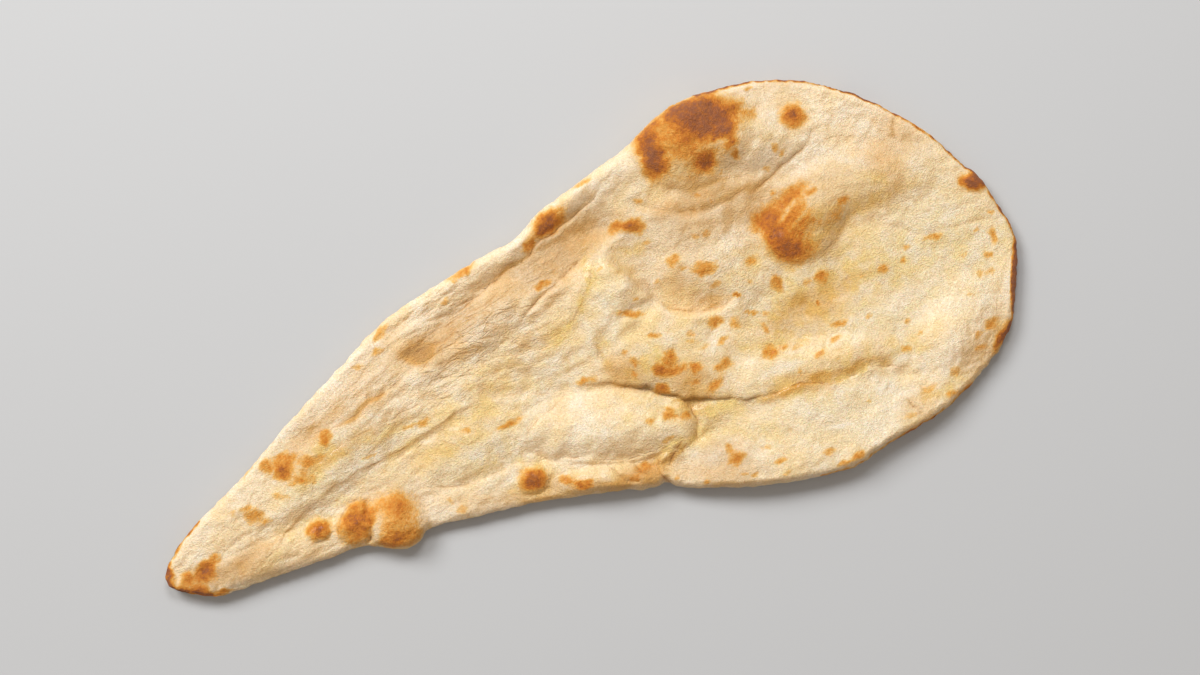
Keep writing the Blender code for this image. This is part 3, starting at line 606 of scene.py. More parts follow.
def beside(places, points, reach):
    """For each place within reach of a curve, its distance to the curve's left and the share of the curve
    there. Places further off are given the distance 1000."""
    curve = curve_through(points)
    travelled = lengths_along(curve)
    left = np.full(len(places), 1000.0)
    share = np.zeros(len(places))
    close = np.all((places > curve.min(axis=0) - reach) & (places < curve.max(axis=0) + reach), axis=1)
    spots = places[close]
    nearest = np.full(len(spots), np.inf)
    near_left = np.zeros(len(spots))
    near_share = np.zeros(len(spots))
    for start, end, begun in zip(curve, curve[1:], travelled):
        way = end - start
        stretch = np.linalg.norm(way)
        along = np.clip((spots - start) @ way / stretch**2, 0, 1)
        gap = spots - start - along[:, None] * way
        distance = np.linalg.norm(gap, axis=1)
        closer = distance < nearest
        side = np.where(way[0] * gap[:, 1] < way[1] * gap[:, 0], -1.0, 1.0)
        nearest[closer] = distance[closer]
        near_left[closer] = (side * distance)[closer]
        near_share[closer] = ((begun + along * stretch) / travelled[-1])[closer]
    left[close] = near_left
    share[close] = near_share
    return left, share


def oval(places, x, y, half_length, half_width, turn):
    """How far out each place is in an oval: 0 at its centre and 1 at its edge."""
    cos, sin = math.cos(math.radians(turn)), math.sin(math.radians(turn))
    across = places - (x, y)
    u = (across[:, 0] * cos + across[:, 1] * sin) / half_length
    v = (across[:, 1] * cos - across[:, 0] * sin) / half_width
    return np.sqrt(u**2 + v**2)


def swellings(places, table):
    """The height of all the swellings of a table."""
    total = np.zeros(len(places))
    for *outline, height, fullness in table.values():
        total += height * np.clip(1 - oval(places, *outline) ** 2, 0, 1) ** fullness
    return total


def tapered(share):
    """1 along most of a curve, falling to 0 at both of its ends."""
    return np.clip(4 * share, 0, 1) ** 0.5 * np.clip(4 * (1 - share), 0, 1) ** 0.5


def past_edge(left, softness):
    """0 on the right of a line and 1 on its left, with an edge of this softness between them."""
    return 1 / (1 + np.exp(-np.clip(left, -40, 40) / softness))


def folds(places, table, reach=4):
    """The height of all the folds of a table."""
    total = np.zeros(len(places))
    for height, half_width, *points in table.values():
        left, share = beside(places, points, reach * half_width)
        total += height * tapered(share) * np.exp(-((left / half_width) ** 2))
    return total


def steps(places):
    """Forms that sink to a line and end there at a crisp edge, or stand over it."""
    total = np.zeros(len(places))
    for height, back, edge, _, *points in STEPS.values():
        left, share = beside(places, points, 3 * back)
        total += height * tapered(share) * past_edge(left, edge) * np.exp(-np.clip(left, 0, None) / back)
    return total


def creases(places):
    """Sharp valleys with a soft shoulder along each side."""
    total = np.zeros(len(places))
    for depth, half_width, _, *points in CREASES.values():
        left, share = beside(places, points, 12 * half_width)
        away = np.abs(left) / half_width
        shoulder = CREASE_SHOULDER * np.exp(-(((away - 3) / 2.5) ** 2))
        total += depth * tapered(share) * (shoulder - np.exp(-away))
    return total


def drawn_lines(places):
    """The signed distance in millimetres to the nearest drawn line, and how clearly it is drawn there."""
    lines = [(mark, *points) for _, _, _, mark, *points in STEPS.values()]
    lines += [(mark, *points) for _, _, mark, *points in CREASES.values()]
    lines += [(LAP_MARK, *LAP_RUN), *FINE_LINES]
    places = wandered(places, *LINE_STRAY)
    side = np.full(len(places), LINE_REACH)
    clearness = np.zeros(len(places))
    for mark, *points in lines:
        left, share = beside(places, points, LINE_REACH)
        nearer = np.abs(left) < np.abs(side)
        faded = np.clip(1.5 - np.abs(left) / LINE_FADE, 0, 1)
        side[nearer] = left[nearer]
        clearness[nearer] = (mark * tapered(share) * faded)[nearer]
    return side, clearness * np.clip(0.6 + 1.1 * noise_at(places, 8, 93, 2), 0.1, 1)


def noise_at(places, size, seed, octaves=3):
    """Smooth noise from about -1 to 1 at these places, with bumps of about this size."""
    return np.array([noise.fractal(Vector((x / size, y / size, seed)), 1.0, 2.0, octaves) for x, y in places])


def soft_noise(places, size, height=0):
    """A single layer of smooth noise, cut at this height."""
    return np.array([noise.noise(Vector((x, y, height)) / size) for x, y in places])


def wandered(places, size, reach, seed):
    """The places moved about by noise, so that ovals and lines drawn on them get uneven edges."""
    shift = [noise_at(places, size, seed, 2), noise_at(places, size, seed + 40, 2)]
    return places + reach * np.stack(shift, axis=1)


def ragged(places, rim):
    """The places with the rim made slightly uneven."""
    reach = RAGGED_REACH * np.clip(1 - rim / RAGGED_SIZE, 0, 1)
    return wandered(places, RAGGED_SIZE, reach[:, None], RAGGED_SEED)


def across_outline(u, v):
    """The flat place of each grid point, blended from the four runs of the outline."""
    lower, upper = at_share(LOWER_EDGE, u), at_share(UPPER_EDGE, u)
    tail, head = at_share(TAIL_END, v), at_share(HEAD_END, v)
    u, v = u[:, None], v[:, None]
    lower_corners = (1 - u) * (1 - v) * LOWER_EDGE[0] + u * (1 - v) * LOWER_EDGE[-1]
    upper_corners = (1 - u) * v * UPPER_EDGE[0] + u * v * UPPER_EDGE[-1]
    return (1 - v) * lower + v * upper + (1 - u) * tail + u * head - lower_corners - upper_corners


def to_rim(places):
    """The distance from each place to the outline."""
    outline = np.vstack([curve_through(run, 24) for run in (LOWER_EDGE, HEAD_END, UPPER_EDGE, TAIL_END)])
    tree = KDTree(len(outline))
    for index, (x, y) in enumerate(outline):
        tree.insert((x, y, 0), index)
    tree.balance()
    return np.array([tree.find((x, y, 0))[2] for x, y in places])


def spread(grid):
    """Grid places from 0 to 1, crowded towards both ends."""
    return grid - EDGE_CROWDING * np.sin(2 * np.pi * grid) / (2 * np.pi)


def cell_edges(places, seed):
    """1 on the borders of uneven cells one unit wide, falling to 0 inside them. The seed makes every run alike."""
    noise.seed_set(CELL_SEED)
    gaps = []
    for x, y in places:
        spot = Vector((x, y, seed))
        moved = spot + 0.45 * noise.noise_vector(spot * 1.3) + 0.2 * noise.noise_vector(spot * 3.1)
        nearest, second = noise.voronoi(moved)[0][:2]
        gaps.append(second - nearest)
    return np.exp(-np.array(gaps) / 0.07)


def skin(u, v, flat):
    """The wrinkled skin: soft waves and fine creases that fan out from the tail, deepest on the upper body."""
    grid = np.stack([u, v], axis=1)
    waves = noise_at(grid * SKIN_WAVES, 1, 7, 2)
    long_creases = cell_edges(grid * LONG_CELLS, 3)
    short_creases = cell_edges(grid * SHORT_CELLS, 9)
    body = np.exp(-(((flat[:, 0] - BODY_X) / BODY_REACH) ** 2)) * np.clip(2.2 * (v - 0.25), 0.3, 1)
    tail = np.clip((flat[:, 0] - TAIL_X) / TAIL_REACH, 0, 1)
    some = np.clip(0.5 + 1.2 * noise_at(flat, 30, 91, 2), 0, 1)
    others = np.clip(0.5 - 1.2 * noise_at(flat, 26, 96, 2), 0, 1)
    return (
        0.5 * waves * (0.15 + body) * (0.25 + 0.75 * tail)
        - 0.6 * long_creases * some * (0.15 + body) * tail
        - 0.45 * short_creases * others * (0.3 + 0.7 * body) * tail
    )


def fine_relief(form, u, v, flat, strayed):
    """Creases, wrinkles, pebbles and dimples of the top, in millimetres."""
    calm = 1 - CALM_SHARE * np.clip((flat[:, 0] - CALM_FROM) / CALM_REACH, 0, 1)
    dimples = sum(height * noise_at(flat, *grain) for height, *grain in DIMPLES)
    wrinkles = form.wrinkle_depth / MM * skin(u, v, flat)
    pebbles = form.pebble_height / MM * noise_at(flat, PEBBLE_SIZE, 11)
    return creases(strayed) + wrinkles + pebbles + calm * dimples


def shaped(form, u, v, top):
    """The finished place of each grid point, in millimetres, and its flat place and distance to the rim."""
    sheet = form.sheet / MM
    u, v = spread(u), spread(v)
    flat = across_outline(u, v)
    rim = to_rim(flat)
    roundness = np.sqrt(1 - (1 - np.clip(rim / (form.edge_reach / MM), 0, 1)) ** 2)
    waviness = 0.5 + 0.5 * soft_noise(flat, CURL_WAVES, 60)
    curl = form.rim_curl / MM * np.clip(1 - rim / CURL_REACH, 0, 1) ** 2 * waviness
    arch = curl + swellings(flat, ARCHES)

    strayed = wandered(flat, *LINE_STRAY)
    left, share = beside(strayed, LAP_RUN, 90)
    above = past_edge(left, LAP_WALL)
    lap = form.lap_height / MM * tapered(np.clip(share / LAP_PART, 0, 1)) * above
    lap *= np.exp(-np.clip(left, 0, None) / LAP_BACK)
    relief = swellings(flat, SWELLINGS) + folds(flat, FOLDS) + steps(strayed) + lap
    relief += above * swellings(flat, LAPPED_SWELLINGS) + (1 - above) * swellings(flat, UNDERLAID_SWELLINGS)
    relief += LUMPS * soft_noise(flat, LUMP_SIZE)

    upper = top > 0.5
    fine = np.zeros(len(flat))
    fine[upper] = fine_relief(form, u[upper], v[upper], flat[upper], strayed[upper])
    fine *= np.clip(rim / 2.5, 0, 1)

    thickness = np.clip(sheet + relief + fine, form.least_sheet / MM, None)
    middle = arch + sheet / 2
    under = middle - np.maximum(roundness * sheet, EDGE_FACE) / 2
    over = middle + roundness * (thickness - sheet / 2)
    over = np.maximum(over, under + EDGE_FACE)

    lean = top * form.lap_lean / MM * tapered(share) * np.exp(-((left / LEAN_REACH - 0.5) ** 2))
    moved = ragged(flat, rim) + lean[:, None] * LEAN_WAY
    return np.column_stack([moved, np.where(upper, over, under)]), flat, rim


def gridded_slab(rows, columns):
    """A flat slab one unit each way, with the top's faces half the size of the underside's."""
    slab = bmesh.new()
    bmesh.ops.create_grid(slab, x_segments=columns, y_segments=rows, size=0.5)
    bmesh.ops.translate(slab, verts=slab.verts, vec=(0.5, 0.5, 0))
    raised = bmesh.ops.extrude_face_region(slab, geom=slab.faces[:])
    upper = [item for item in raised["geom"] if isinstance(item, bmesh.types.BMVert)]
    bmesh.ops.translate(slab, verts=upper, vec=(0, 0, 1))
    top_edges = [edge for edge in slab.edges if all(vert.co.z > 0.5 for vert in edge.verts)]
    bmesh.ops.subdivide_edges(slab, edges=top_edges, cuts=1, use_grid_fill=True)
    bmesh.ops.recalc_face_normals(slab, faces=slab.faces)
    return slab


# Baking, as values kept on the mesh


def patches(places, table):
    """Soft-edged patches, 0 to 1."""
    clear = np.ones(len(places))
    for *outline, amount in table:
        clear *= 1 - amount / (1 + np.exp((oval(places, *outline) - 0.9) * 5))
    return 1 - clear


def scorch(places):
    """Heat from the scorches, 0 to 1: a hot middle, a plain part with a soft edge and a faint ring."""
    uneven = wandered(places, *SCORCH_STRAY)
    cool = np.ones(len(places))
    for *outline, heat in SCORCHES:
        out = oval(uneven, *outline)
        middle = 0.2 * np.exp(-((out / 0.5) ** 2))
        plain = 0.76 / (1 + np.exp((out - 0.95) * 8))
        ring = 0.2 * np.clip(1.9 - out, 0, 1)
        cool *= np.clip(1 - heat * (middle + plain + ring), 0, 1)
    return (1 - cool) * (1 - patches(wandered(places, *SPARED_STRAY), SPARED))


def toast_and_shade(places):
    """Light toasting along the folds and on the slopes, with painted shade of folds and slopes in it."""
    uneven = wandered(places, *TOAST_AND_SHADE_STRAY)
    return folds(uneven, TOASTED_AND_SHADED_LINES, 3) + patches(uneven, TANNED_AND_SHADED)


def grease(places):
    """Butter on the crust, 0 to 1."""
    uneven = wandered(places, *BUTTER_STRAY)
    dry = np.ones(len(places))
    for *outline, amount in BUTTERED:
        dry *= 1 - amount * np.clip(1.2 - oval(uneven, *outline), 0, 1)
    gathered = np.clip(folds(wandered(places, *BUTTER_LINE_STRAY), BUTTER_LINES, 3), 0, 1)
    return np.clip(1 - dry * (1 - gathered), 0, 1)


def wrinkled(places):
    """Where the skin is finely wrinkled, 0 to 1: most on the body and in the bowl."""
    smooth = np.ones(len(places))
    for *outline, amount in WRINKLED:
        smooth *= 1 - amount * np.clip(1.5 - 1.3 * oval(places, *outline), 0, 1)
    return 1 - smooth


def edge_browning(places, rim, gaps):
    """The thin browned line of the rim, with gaps of about this size in it."""
    x, y = places[:, 0], places[:, 1]
    upper_right = (x > 98) & (y > -5)
    lower = (x > 84) & (x < 165) & (y < -70)
    right = (x > 185) & (y <= -5)
    tail = x < -185
    strength = 1.4 * upper_right + 0.9 * lower + 1.3 * right + tail + 0.15
    strip = np.clip(1 - ((y + 40) / 17) ** 2, 0, 1) * (x > 185)
    breaks = np.clip(0.6 + 0.9 * noise_at(places, gaps, 71), 0, 1) * (1 - strip) + strip
    width = 1.2 + strip * (1.9 + 0.8 * noise_at(places, 3, 73, 2))
    return np.clip(strength, 0, 1.5) * breaks * np.exp(-((rim / width) ** (3 + 3 * strip)))


def hollows(grid, height, rows, columns):
    """How far each point of the top lies under the smoothed top around it, in millimetres."""
    top = grid[:, 2] > 0.5
    across = np.rint(grid[top, 0] * 2 * columns).astype(int)
    up = np.rint(grid[top, 1] * 2 * rows).astype(int)
    field = np.zeros((2 * rows + 1, 2 * columns + 1))
    field[up, across] = height[top]
    smooth = field
    for axis in (0, 1):
        padding = [(HOLLOW_REACH, HOLLOW_REACH) if axis == side else (0, 0) for side in (0, 1)]
        padded = np.pad(smooth, padding, mode="edge")
        moved = [np.roll(padded, -step, axis) for step in range(2 * HOLLOW_REACH + 1)]
        smooth = np.mean([layer[: field.shape[0], : field.shape[1]] for layer in moved], axis=0)
    depth = np.zeros(len(grid))
    depth[top] = (smooth - field)[up, across]
    return depth


def painted_lee_shade(mesh):
    """Painted shade: how much the slopes that face away from the light are tanned, 0 to 1."""
    normals = np.array([vert.normal for vert in mesh.vertices])
    return LEE_SHADE * np.clip(-2.4 * normals[:, :2] @ TO_LIGHT - 0.1, 0, 0.7)


def baked_values(mesh, grid, places, flat, rim, form):
    """What the material reads, by name: one value for each vertex."""
    above = grid[:, 2]
    on_wall = np.clip(1 - rim / WALL_REACH, 0, 1)
    wall_browning = edge_browning(flat, rim, WALL_GAPS)
    browned = edge_browning(flat, rim, RIM_GAPS) * (1 - on_wall) + wall_browning * on_wall
    heat = scorch(flat) * np.clip(0.25 + rim / 2, 0, 1) + browned
    crusted = np.maximum(above, np.clip(WALL_SHARE * wall_browning, 0, 1))
    # Painted shade: the crust is tanned where it lies in hollows under the smoothed top and on the slopes away
    # from the light
    sunk = hollows(grid, places[:, 2] / MM, form.rows, form.columns) * np.clip(rim / 8 - 0.3, 0, 1)
    tanned_and_shaded = np.clip(toast_and_shade(flat) + 0.2 * np.clip(sunk, 0, 0.6) + painted_lee_shade(mesh), 0, 1)
    side, clearness = drawn_lines(flat)
    return {
        "scorch": np.clip(heat, 0, 1) * crusted,
        "toast_and_shade": (TAN_AND_SHADE_SHARE * tanned_and_shaded + patches(wandered(flat, *STAIN_STRAY), STAINS)) * above,
        "line": side,
        "line_mark": clearness * above,
        "wrinkled": wrinkled(flat) * above,
        "butter": grease(flat) * above,
        # Painted shade: grey patches where the crust lies in shade
        "painted_shade": patches(wandered(flat, *SHADE_PATCH_STRAY), SHADED_PATCHES) * above,
        # Pale patches: pale crust, partly painted light and a painted glint
        "pale": patches(wandered(flat, *PALE_AND_LIT_STRAY), PALED_AND_LIT) * above,
        "below": 1 - crusted,
    }


# Materials


def add_node(tree, kind, x, y, **settings):
    node = tree.nodes.new(kind)
    node.location = (x, y)
    for name, value in settings.items():
        setattr(node, name, value)
    return node


def new_group(name, numbers):
    """A group that takes a vector and these numbers and gives one value, with its first and last nodes and a
    node that turns a size in millimetres into a scale."""
    group = bpy.data.node_groups.new(name, "ShaderNodeTree")
    face = group.interface
    face.new_socket(name="Vector", in_out="INPUT", socket_type="NodeSocketVector")
    for label, default in numbers.items():
        face.new_socket(name=label, in_out="INPUT", socket_type="NodeSocketFloat").default_value = default
    face.new_socket(name="Value", in_out="OUTPUT", socket_type="NodeSocketFloat")
    first = add_node(group, "NodeGroupInput", -900, 0)
    last = add_node(group, "NodeGroupOutput", 500, 0)
    scale = add_node(group, "ShaderNodeMath", -700, -100, operation="DIVIDE")
    scale.inputs[0].default_value = 1 / MM
    group.links.new(first.outputs["Size"], scale.inputs[1])
    return group, first, last, scale


def mottle_group():
    """Noise with grains of this size, stretched from 0 to 1 between two levels."""
    group, first, last, scale = new_group("Mottle", {"Size": 2.0, "Detail": 3.0, "Low": 0.35, "High": 0.65})
    grain = add_node(group, "ShaderNodeTexNoise", -300, 0)
    grain.inputs["Roughness"].default_value = 0.55
    level = add_node(group, "ShaderNodeMapRange", 0, 0)
    link = group.links.new
    link(first.outputs["Vector"], grain.inputs["Vector"])
    link(scale.outputs["Value"], grain.inputs["Scale"])
    link(first.outputs["Detail"], grain.inputs["Detail"])
    link(grain.outputs["Fac"], level.inputs["Value"])
    link(first.outputs["Low"], level.inputs["From Min"])
    link(first.outputs["High"], level.inputs["From Max"])
    link(level.outputs["Result"], last.inputs["Value"])
    return group


def cell_group():
    """The borders of uneven, wandering cells: 1 on a border and 0 inside a cell."""
    group, first, last, scale = new_group("Cell borders", {"Size": 5.0, "Width": 0.1})
    sized = add_node(group, "ShaderNodeVectorMath", -500, 0, operation="SCALE")
    wander = add_node(group, "ShaderNodeTexNoise", -300, -150)
    wander.inputs["Scale"].default_value = 1.4
    offset = add_node(group, "ShaderNodeVectorMath", -100, -150, operation="MULTIPLY_ADD")
    offset.inputs[1].default_value = (0.9, 0.9, 0.9)
    borders = add_node(group, "ShaderNodeTexVoronoi", 100, 0, feature="DISTANCE_TO_EDGE")
    borders.inputs["Scale"].default_value = 1.0
    level = add_node(group, "ShaderNodeMapRange", 300, 0, interpolation_type="SMOOTHSTEP")
    level.inputs["To Min"].default_value = 1.0
    level.inputs["To Max"].default_value = 0.0
    link = group.links.new
    link(first.outputs["Vector"], sized.inputs[0])
    link(scale.outputs["Value"], sized.inputs["Scale"])
    link(sized.outputs["Vector"], wander.inputs["Vector"])
    link(wander.outputs["Color"], offset.inputs[0])
    link(sized.outputs["Vector"], offset.inputs[2])
    link(offset.outputs["Vector"], borders.inputs["Vector"])
    link(borders.outputs["Distance"], level.inputs["Value"])
    link(first.outputs["Width"], level.inputs["From Max"])
    link(level.outputs["Result"], last.inputs["Value"])
    return group


def opaque(rgb):
    return (*rgb, 1.0)


class Wiring:
    """Short ways to place and join nodes in one material."""

    def __init__(self, material):
        self.tree = material.node_tree
        self.mottle_group = mottle_group()
        self.cell_group = cell_group()
        self.count = 0

    def node(self, kind, **settings):
        self.count += 1
        row, column = divmod(self.count, 14)
        return add_node(self.tree, kind, -2600 + 180 * column, 400 - 220 * row, **settings)

    def plug(self, socket, value):
        if isinstance(value, bpy.types.NodeSocket):
            self.tree.links.new(value, socket)
        else:
            socket.default_value = value

    def kept(self, name):
        """A value kept on the mesh."""
        return self.node("ShaderNodeAttribute", attribute_name=name).outputs["Fac"]

    def grouped(self, group, vector, numbers):
        node = self.node("ShaderNodeGroup", node_tree=group)
        self.plug(node.inputs["Vector"], vector)
        for name, value in numbers.items():
            node.inputs[name].default_value = value
        return node.outputs["Value"]

    def mottle(self, vector, grain, low=0.35, high=0.65, detail=3.0):
        numbers = {"Size": grain, "Detail": detail, "Low": low, "High": high}
        return self.grouped(self.mottle_group, vector, numbers)

    def cells(self, vector, size, width):
        """1 on the borders of uneven cells of this many millimetres, falling to 0 within a share of them."""
        return self.grouped(self.cell_group, vector, {"Size": size, "Width": width})

    def maths(self, operation, a, b=0.0, clamp=False):
        node = self.node("ShaderNodeMath", operation=operation, use_clamp=clamp)
        self.plug(node.inputs[0], a)
        self.plug(node.inputs[1], b)
        return node.outputs["Value"]

    def times(self, a, b, clamp=False):
        return self.maths("MULTIPLY", a, b, clamp)

    def plus(self, a, b, clamp=False):
        return self.maths("ADD", a, b, clamp)

    def minus(self, a, b):
        return self.maths("SUBTRACT", a, b)

    def mixed(self, share, a, b, blend="MIX"):
        node = self.node("ShaderNodeMix", data_type="RGBA", blend_type=blend)
        self.plug(node.inputs["Factor"], share)
        self.plug(node.inputs["A"], a)
        self.plug(node.inputs["B"], b)
        return node.outputs["Result"]

    def tinted(self, share, rgba, tint):
        return self.mixed(share, rgba, tint, "MULTIPLY")

    def grey(self, value):
        node = self.node("ShaderNodeCombineColor")
        for channel in node.inputs:
            self.plug(channel, value)
        return node.outputs["Color"]

    def ramp(self, value, *stops):
        node = self.node("ShaderNodeValToRGB")
        elements = node.color_ramp.elements
        while len(elements) < len(stops):
            elements.new(0.5)
        for element, (position, rgba) in zip(elements, stops):
            element.position = position
            element.color = rgba
        self.plug(node.inputs["Fac"], value)
        return node.outputs["Color"]

    def between(self, value, low, high):
        node = self.node("ShaderNodeMapRange")
        self.plug(node.inputs["Value"], value)
        node.inputs["To Min"].default_value = low
        node.inputs["To Max"].default_value = high
        return node.outputs["Result"]


def drawn_line(wire, half_width):
    """The drawn lines, strongest on the line and fading by this many millimetres."""
    away = wire.maths("ABSOLUTE", wire.kept("line"))
    return wire.times(wire.maths("EXPONENT", wire.times(away, -1 / half_width)), wire.kept("line_mark"))


def skin_wrinkles(wire, place):
    """Borders of large and of small cells, stretched along the bread, each in its own patches."""
    stretched = wire.node("ShaderNodeUVMap", uv_map="stretch").outputs["UV"]
    large = wire.times(wire.cells(stretched, LARGE_CELL, 0.09), wire.mottle(place, 14, 0.4, 0.6))
    small = wire.times(wire.cells(stretched, SMALL_CELL, 0.12), wire.mottle(place, 19, 0.62, 0.42))
    return wire.times(wire.plus(large, small), wire.kept("wrinkled"))


def dough_colour(wire, place, soaked, specks, colours):
    """Unscorched crust: pale and warm patches, soaked with butter, paler or lit by painted light in places and
    greyed by painted shade in others, finely grained, with painted shade in the grain's hollows and painted light
    on its raised bits.
    """
    pale, warm = opaque(colours.pale), opaque(colours.warm)
    dough = wire.mixed(wire.between(wire.mottle(place, 17, 0.38, 0.62), 0.2, 0.8), pale, warm)
    dough = wire.mixed(wire.times(wire.mottle(place, 5, 0.38, 0.62), 0.2), dough, warm)
    dough = wire.mixed(wire.times(soaked, 0.85), dough, opaque(colours.butter))
    # Paler crust, with painted light on lit lips and ridges and a painted butter glint
    dough = wire.mixed(wire.times(wire.kept("pale"), 0.7), dough, pale)
    # Painted shade: grey darkening of the crust
    dough = wire.tinted(wire.kept("painted_shade"), dough, SHADE_PATCH_TINT)
    # Painted shade and light: the grain and the specks follow the same noise as the bump, darker in its hollows
    # and lighter on its raised bits
    dough = wire.tinted(1.0, dough, wire.mixed(wire.mottle(place, 1.1, 0.3, 0.7, 4.0), *GRAIN_SHADE_AND_LIGHT_TINTS))
    return wire.tinted(1.0, dough, wire.grey(wire.between(specks, 0.92, 1.06)))


def scorched(wire, place, dough, heat, grainy, specks):
    """The dough with its scorches, whose edges and middles are uneven."""
    unevenness = wire.plus(wire.between(grainy, -0.2, 0.16), wire.between(specks, -0.16, 0.13))
    unevenness = wire.plus(unevenness, wire.between(wire.mottle(place, 3.4), -0.1, 0.08))
    reach = wire.times(heat, wire.between(heat, 2.2, 0.35), clamp=True)
    baked = wire.plus(heat, wire.times(unevenness, reach), clamp=True)
    return wire.tinted(1.0, dough, wire.ramp(baked, *SCORCH_TINTS))


def underside_colour(wire, place, colours):
    """Golden crust with small brown spots."""
    deeper = wire.between(wire.mottle(place, 12, 0.35, 0.65), 0.05, 0.45)
    crust = wire.mixed(deeper, opaque(colours.warm), opaque(colours.gold))
    return wire.mixed(wire.mottle(place, 4, 0.62, 0.74), crust, opaque(colours.brown))


def crust_material(colours):
    """Baked dough: cream, golden and brown where it is scorched, yellow and glossy where it is buttered."""
    material = bpy.data.materials.new("baked_crust")
    material.use_nodes = True
    wire = Wiring(material)
    surface = material.node_tree.nodes["Principled BSDF"]
    place = wire.node("ShaderNodeTexCoord").outputs["Object"]
    heat, butter = wire.kept("scorch"), wire.kept("butter")
    thin, wide = drawn_line(wire, THIN_LINE), drawn_line(wire, WIDE_LINE)
    wrinkles = skin_wrinkles(wire, place)
    grainy = wire.mottle(place, 1.8, 0.3, 0.7)
    specks = wire.mottle(place, 0.55, 0.35, 0.65)
    soaked = wire.times(butter, wire.between(wire.mottle(place, 8, 0.4, 0.6), 0.35, 1.15), clamp=True)

    shown = dough_colour(wire, place, soaked, specks, colours)
    shown = scorched(wire, place, shown, heat, grainy, specks)
    # Painted shade: the tan also darkens the crust along the wide drawn lines and the wrinkle borders, on top of
    # the kept toast and shade
    toasted_and_shaded = wire.plus(wire.kept("toast_and_shade"), wire.times(wide, 0.16), clamp=True)
    toasted_and_shaded = wire.plus(toasted_and_shaded, wire.times(wrinkles, 0.16), clamp=True)
    tan = wire.times(toasted_and_shaded, wire.minus(1.0, heat), clamp=True)
    tint = wire.ramp(tan, (0.0, (1, 1, 1, 1)), (0.6, opaque(colours.tan)), (1.0, DEEP_TAN_SHADE))
    shown = wire.tinted(1.0, shown, tint)
    # Painted crease shade: the thin drawn lines darken the crust along the creases, steps and the lap, partly as
    # browning
    shown = wire.tinted(thin, shown, LINE_SHADE_TINT)
    shown = wire.mixed(wire.kept("below"), shown, underside_colour(wire, place, colours))
    wire.plug(surface.inputs["Base Color"], shown)

    gloss = wire.times(soaked, wire.between(grainy, 0.5, 1.0), clamp=True)
    gloss = wire.times(gloss, wire.between(heat, 1.0, 0.35))
    wire.plug(surface.inputs["Roughness"], wire.between(gloss, 0.62, 0.3))
    wire.plug(surface.inputs["Coat Weight"], wire.times(gloss, 0.6))
    surface.inputs["Coat Roughness"].default_value = 0.15
    surface.inputs["Specular IOR Level"].default_value = 0.4
    surface.inputs["Subsurface Weight"].default_value = 0.15
    surface.inputs["Subsurface Radius"].default_value = (0.004, 0.002, 0.001)
    surface.inputs["Subsurface Scale"].default_value = 1.0

    height = wire.plus(wire.mottle(place, 1.1, 0.2, 0.8), wire.times(specks, 0.5))
    height = wire.times(height, wire.between(butter, 1.0, 1.6))
    height = wire.minus(height, wrinkles)
    height = wire.minus(height, wire.times(thin, 2.0))
    bump = wire.node("ShaderNodeBump")
    bump.inputs["Strength"].default_value = 0.9
    bump.inputs["Distance"].default_value = BUMP_DISTANCE
    wire.plug(bump.inputs["Height"], height)
    wire.plug(surface.inputs["Normal"], bump.outputs["Normal"])
    return material


def plain_material(name, rgb, roughness):
    material = bpy.data.materials.new(name)
    material.use_nodes = True
    surface = material.node_tree.nodes["Principled BSDF"]
    surface.inputs["Base Color"].default_value = opaque(rgb)
    surface.inputs["Roughness"].default_value = roughness
    return material


# Steps


def linked(data, name):
    thing = bpy.data.objects.new(name, data)
    bpy.context.scene.collection.objects.link(thing)
    return thing


def mesh_from(form, name):
    """The bmesh as a mesh."""
    mesh = bpy.data.meshes.new(name)
    form.to_mesh(mesh)
    form.free()
    return mesh


class NAAN_OT_bread(Operator):
    """Make the naan in place of its plain solid"""

    bl_idname = "naan.make_bread"
    bl_label = "Make the bread"

    def execute(self, context):
        form, colours = context.scene.naan_form, context.scene.naan_colours
        slab = gridded_slab(form.rows, form.columns)
        grid = np.array([vert.co for vert in slab.verts])
        places, flat, rim = shaped(form, grid[:, 0], grid[:, 1], grid[:, 2])
        places = places * MM
        low, high = places.min(axis=0), places.max(axis=0)
        places -= ((low[0] + high[0]) / 2, (low[1] + high[1]) / 2, low[2])
        for vert, place in zip(slab.verts, places):
            vert.co = place
        mesh = mesh_from(slab, "bread")
        mesh.shade_smooth()
        stretched = mesh.uv_layers.new(name="stretch")
        corners = np.empty(len(mesh.loops), int)
        mesh.loops.foreach_get("vertex_index", corners)
        stretched.uv.foreach_set("vector", (grid[corners, :2] * STRETCH_SIZE).ravel())
        for name, values in baked_values(mesh, grid, places, flat, rim, form).items():
            attribute = mesh.attributes.new(name, "FLOAT", "POINT")
            attribute.data.foreach_set("value", values.astype(np.float32))
        mesh.materials.append(crust_material(colours))

        bread = linked(mesh, "bread")
        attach(bread, "root")
        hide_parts("naan")
        return {"FINISHED"}


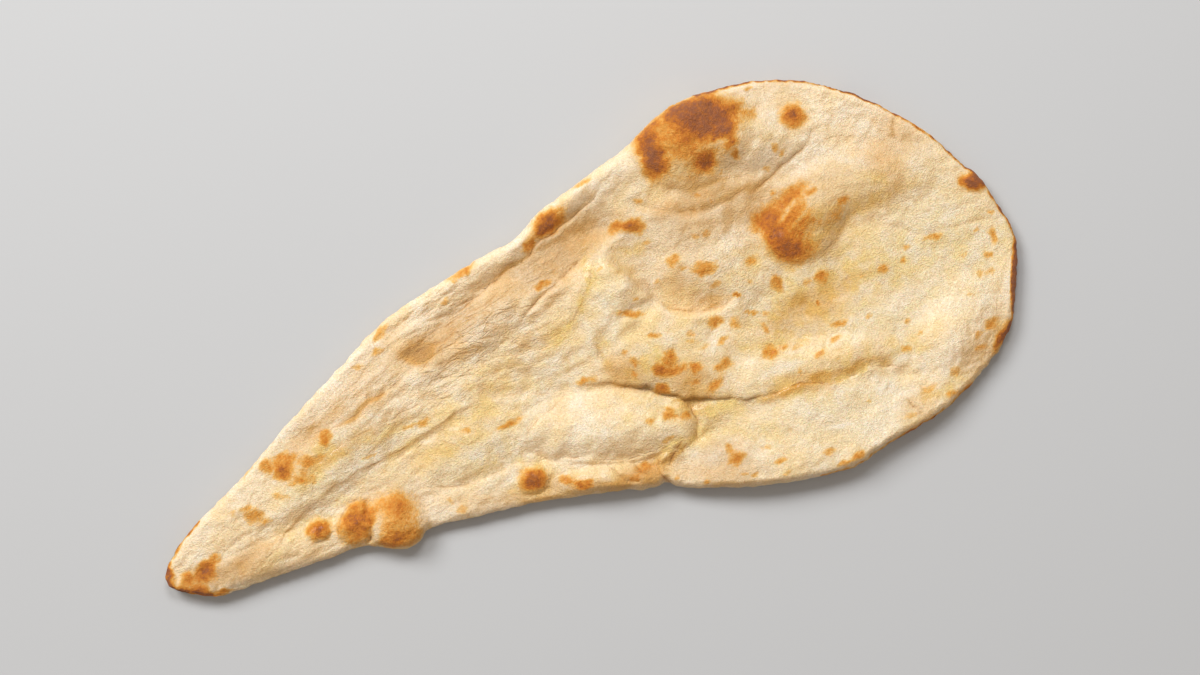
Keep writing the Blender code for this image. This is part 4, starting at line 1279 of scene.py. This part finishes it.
class NAAN_OT_stage(Operator):
    """Make the floor, the studio light and the camera"""

    bl_idname = "naan.make_stage"
    bl_label = "Make the stage"

    def execute(self, context):
        scene = context.scene
        ground = bmesh.new()
        bmesh.ops.create_grid(ground, x_segments=1, y_segments=1, size=FLOOR_HALF)
        bmesh.ops.translate(ground, verts=ground.verts, vec=(0, 0, -FLOOR_GAP))
        mesh = mesh_from(ground, "floor")
        mesh.materials.append(plain_material("floor", scene.naan_colours.floor, 0.6))
        linked(mesh, "floor")

        for name, place, size, watts in LAMPS:
            lamp = bpy.data.lights.new(name, "AREA")
            lamp.shape = "DISK"
            lamp.size = size
            lamp.energy = watts
            lamp.color = LAMP_COLOUR
            holder = linked(lamp, name)
            holder.location = place
            holder.rotation_euler = (Vector(LAMP_AIM) - holder.location).to_track_quat("-Z", "Y").to_euler()

        world = bpy.data.worlds.new("studio")
        world.use_nodes = True
        sky = world.node_tree.nodes["Background"]
        sky.inputs["Color"].default_value = SKY_COLOUR
        sky.inputs["Strength"].default_value = SKY_STRENGTH
        scene.world = world
        scene.view_settings.view_transform = "Standard"

        camera = bpy.data.cameras.new("camera")
        camera.lens = LENS_MM
        camera.sensor_width = SENSOR_MM
        camera.clip_start = 0.01
        holder = linked(camera, "camera")
        holder.location = (VIEW_X, VIEW_Y, VIEW_HEIGHT)
        holder.rotation_euler = (0, 0, -math.radians(VIEW_TURN))
        scene.camera = holder
        return {"FINISHED"}


class NAAN_PT_panel(Panel):
    """Sizes, colours and steps of the naan"""

    bl_idname = "NAAN_PT_panel"
    bl_label = "Naan bread"
    bl_space_type = "VIEW_3D"
    bl_region_type = "UI"
    bl_category = "Naan"

    def draw(self, context):
        for group in (context.scene.naan_form, context.scene.naan_colours):
            column = self.layout.column()
            for name in group.__annotations__:
                column.prop(group, name)
        self.layout.operator(NAAN_OT_bread.bl_idname)
        self.layout.operator(NAAN_OT_stage.bl_idname)


CLASSES = (BreadForm, BreadColours, NAAN_OT_bread, NAAN_OT_stage, NAAN_PT_panel)


def register():
    for cls in CLASSES:
        bpy.utils.register_class(cls)
    bpy.types.Scene.naan_form = PointerProperty(type=BreadForm)
    bpy.types.Scene.naan_colours = PointerProperty(type=BreadColours)


def unregister():
    del bpy.types.Scene.naan_colours
    del bpy.types.Scene.naan_form
    for cls in reversed(CLASSES):
        bpy.utils.unregister_class(cls)


def main():
    register()
    bpy.ops.naan.make_bread()
    bpy.ops.naan.make_stage()


if __name__ == "__main__":
    main()
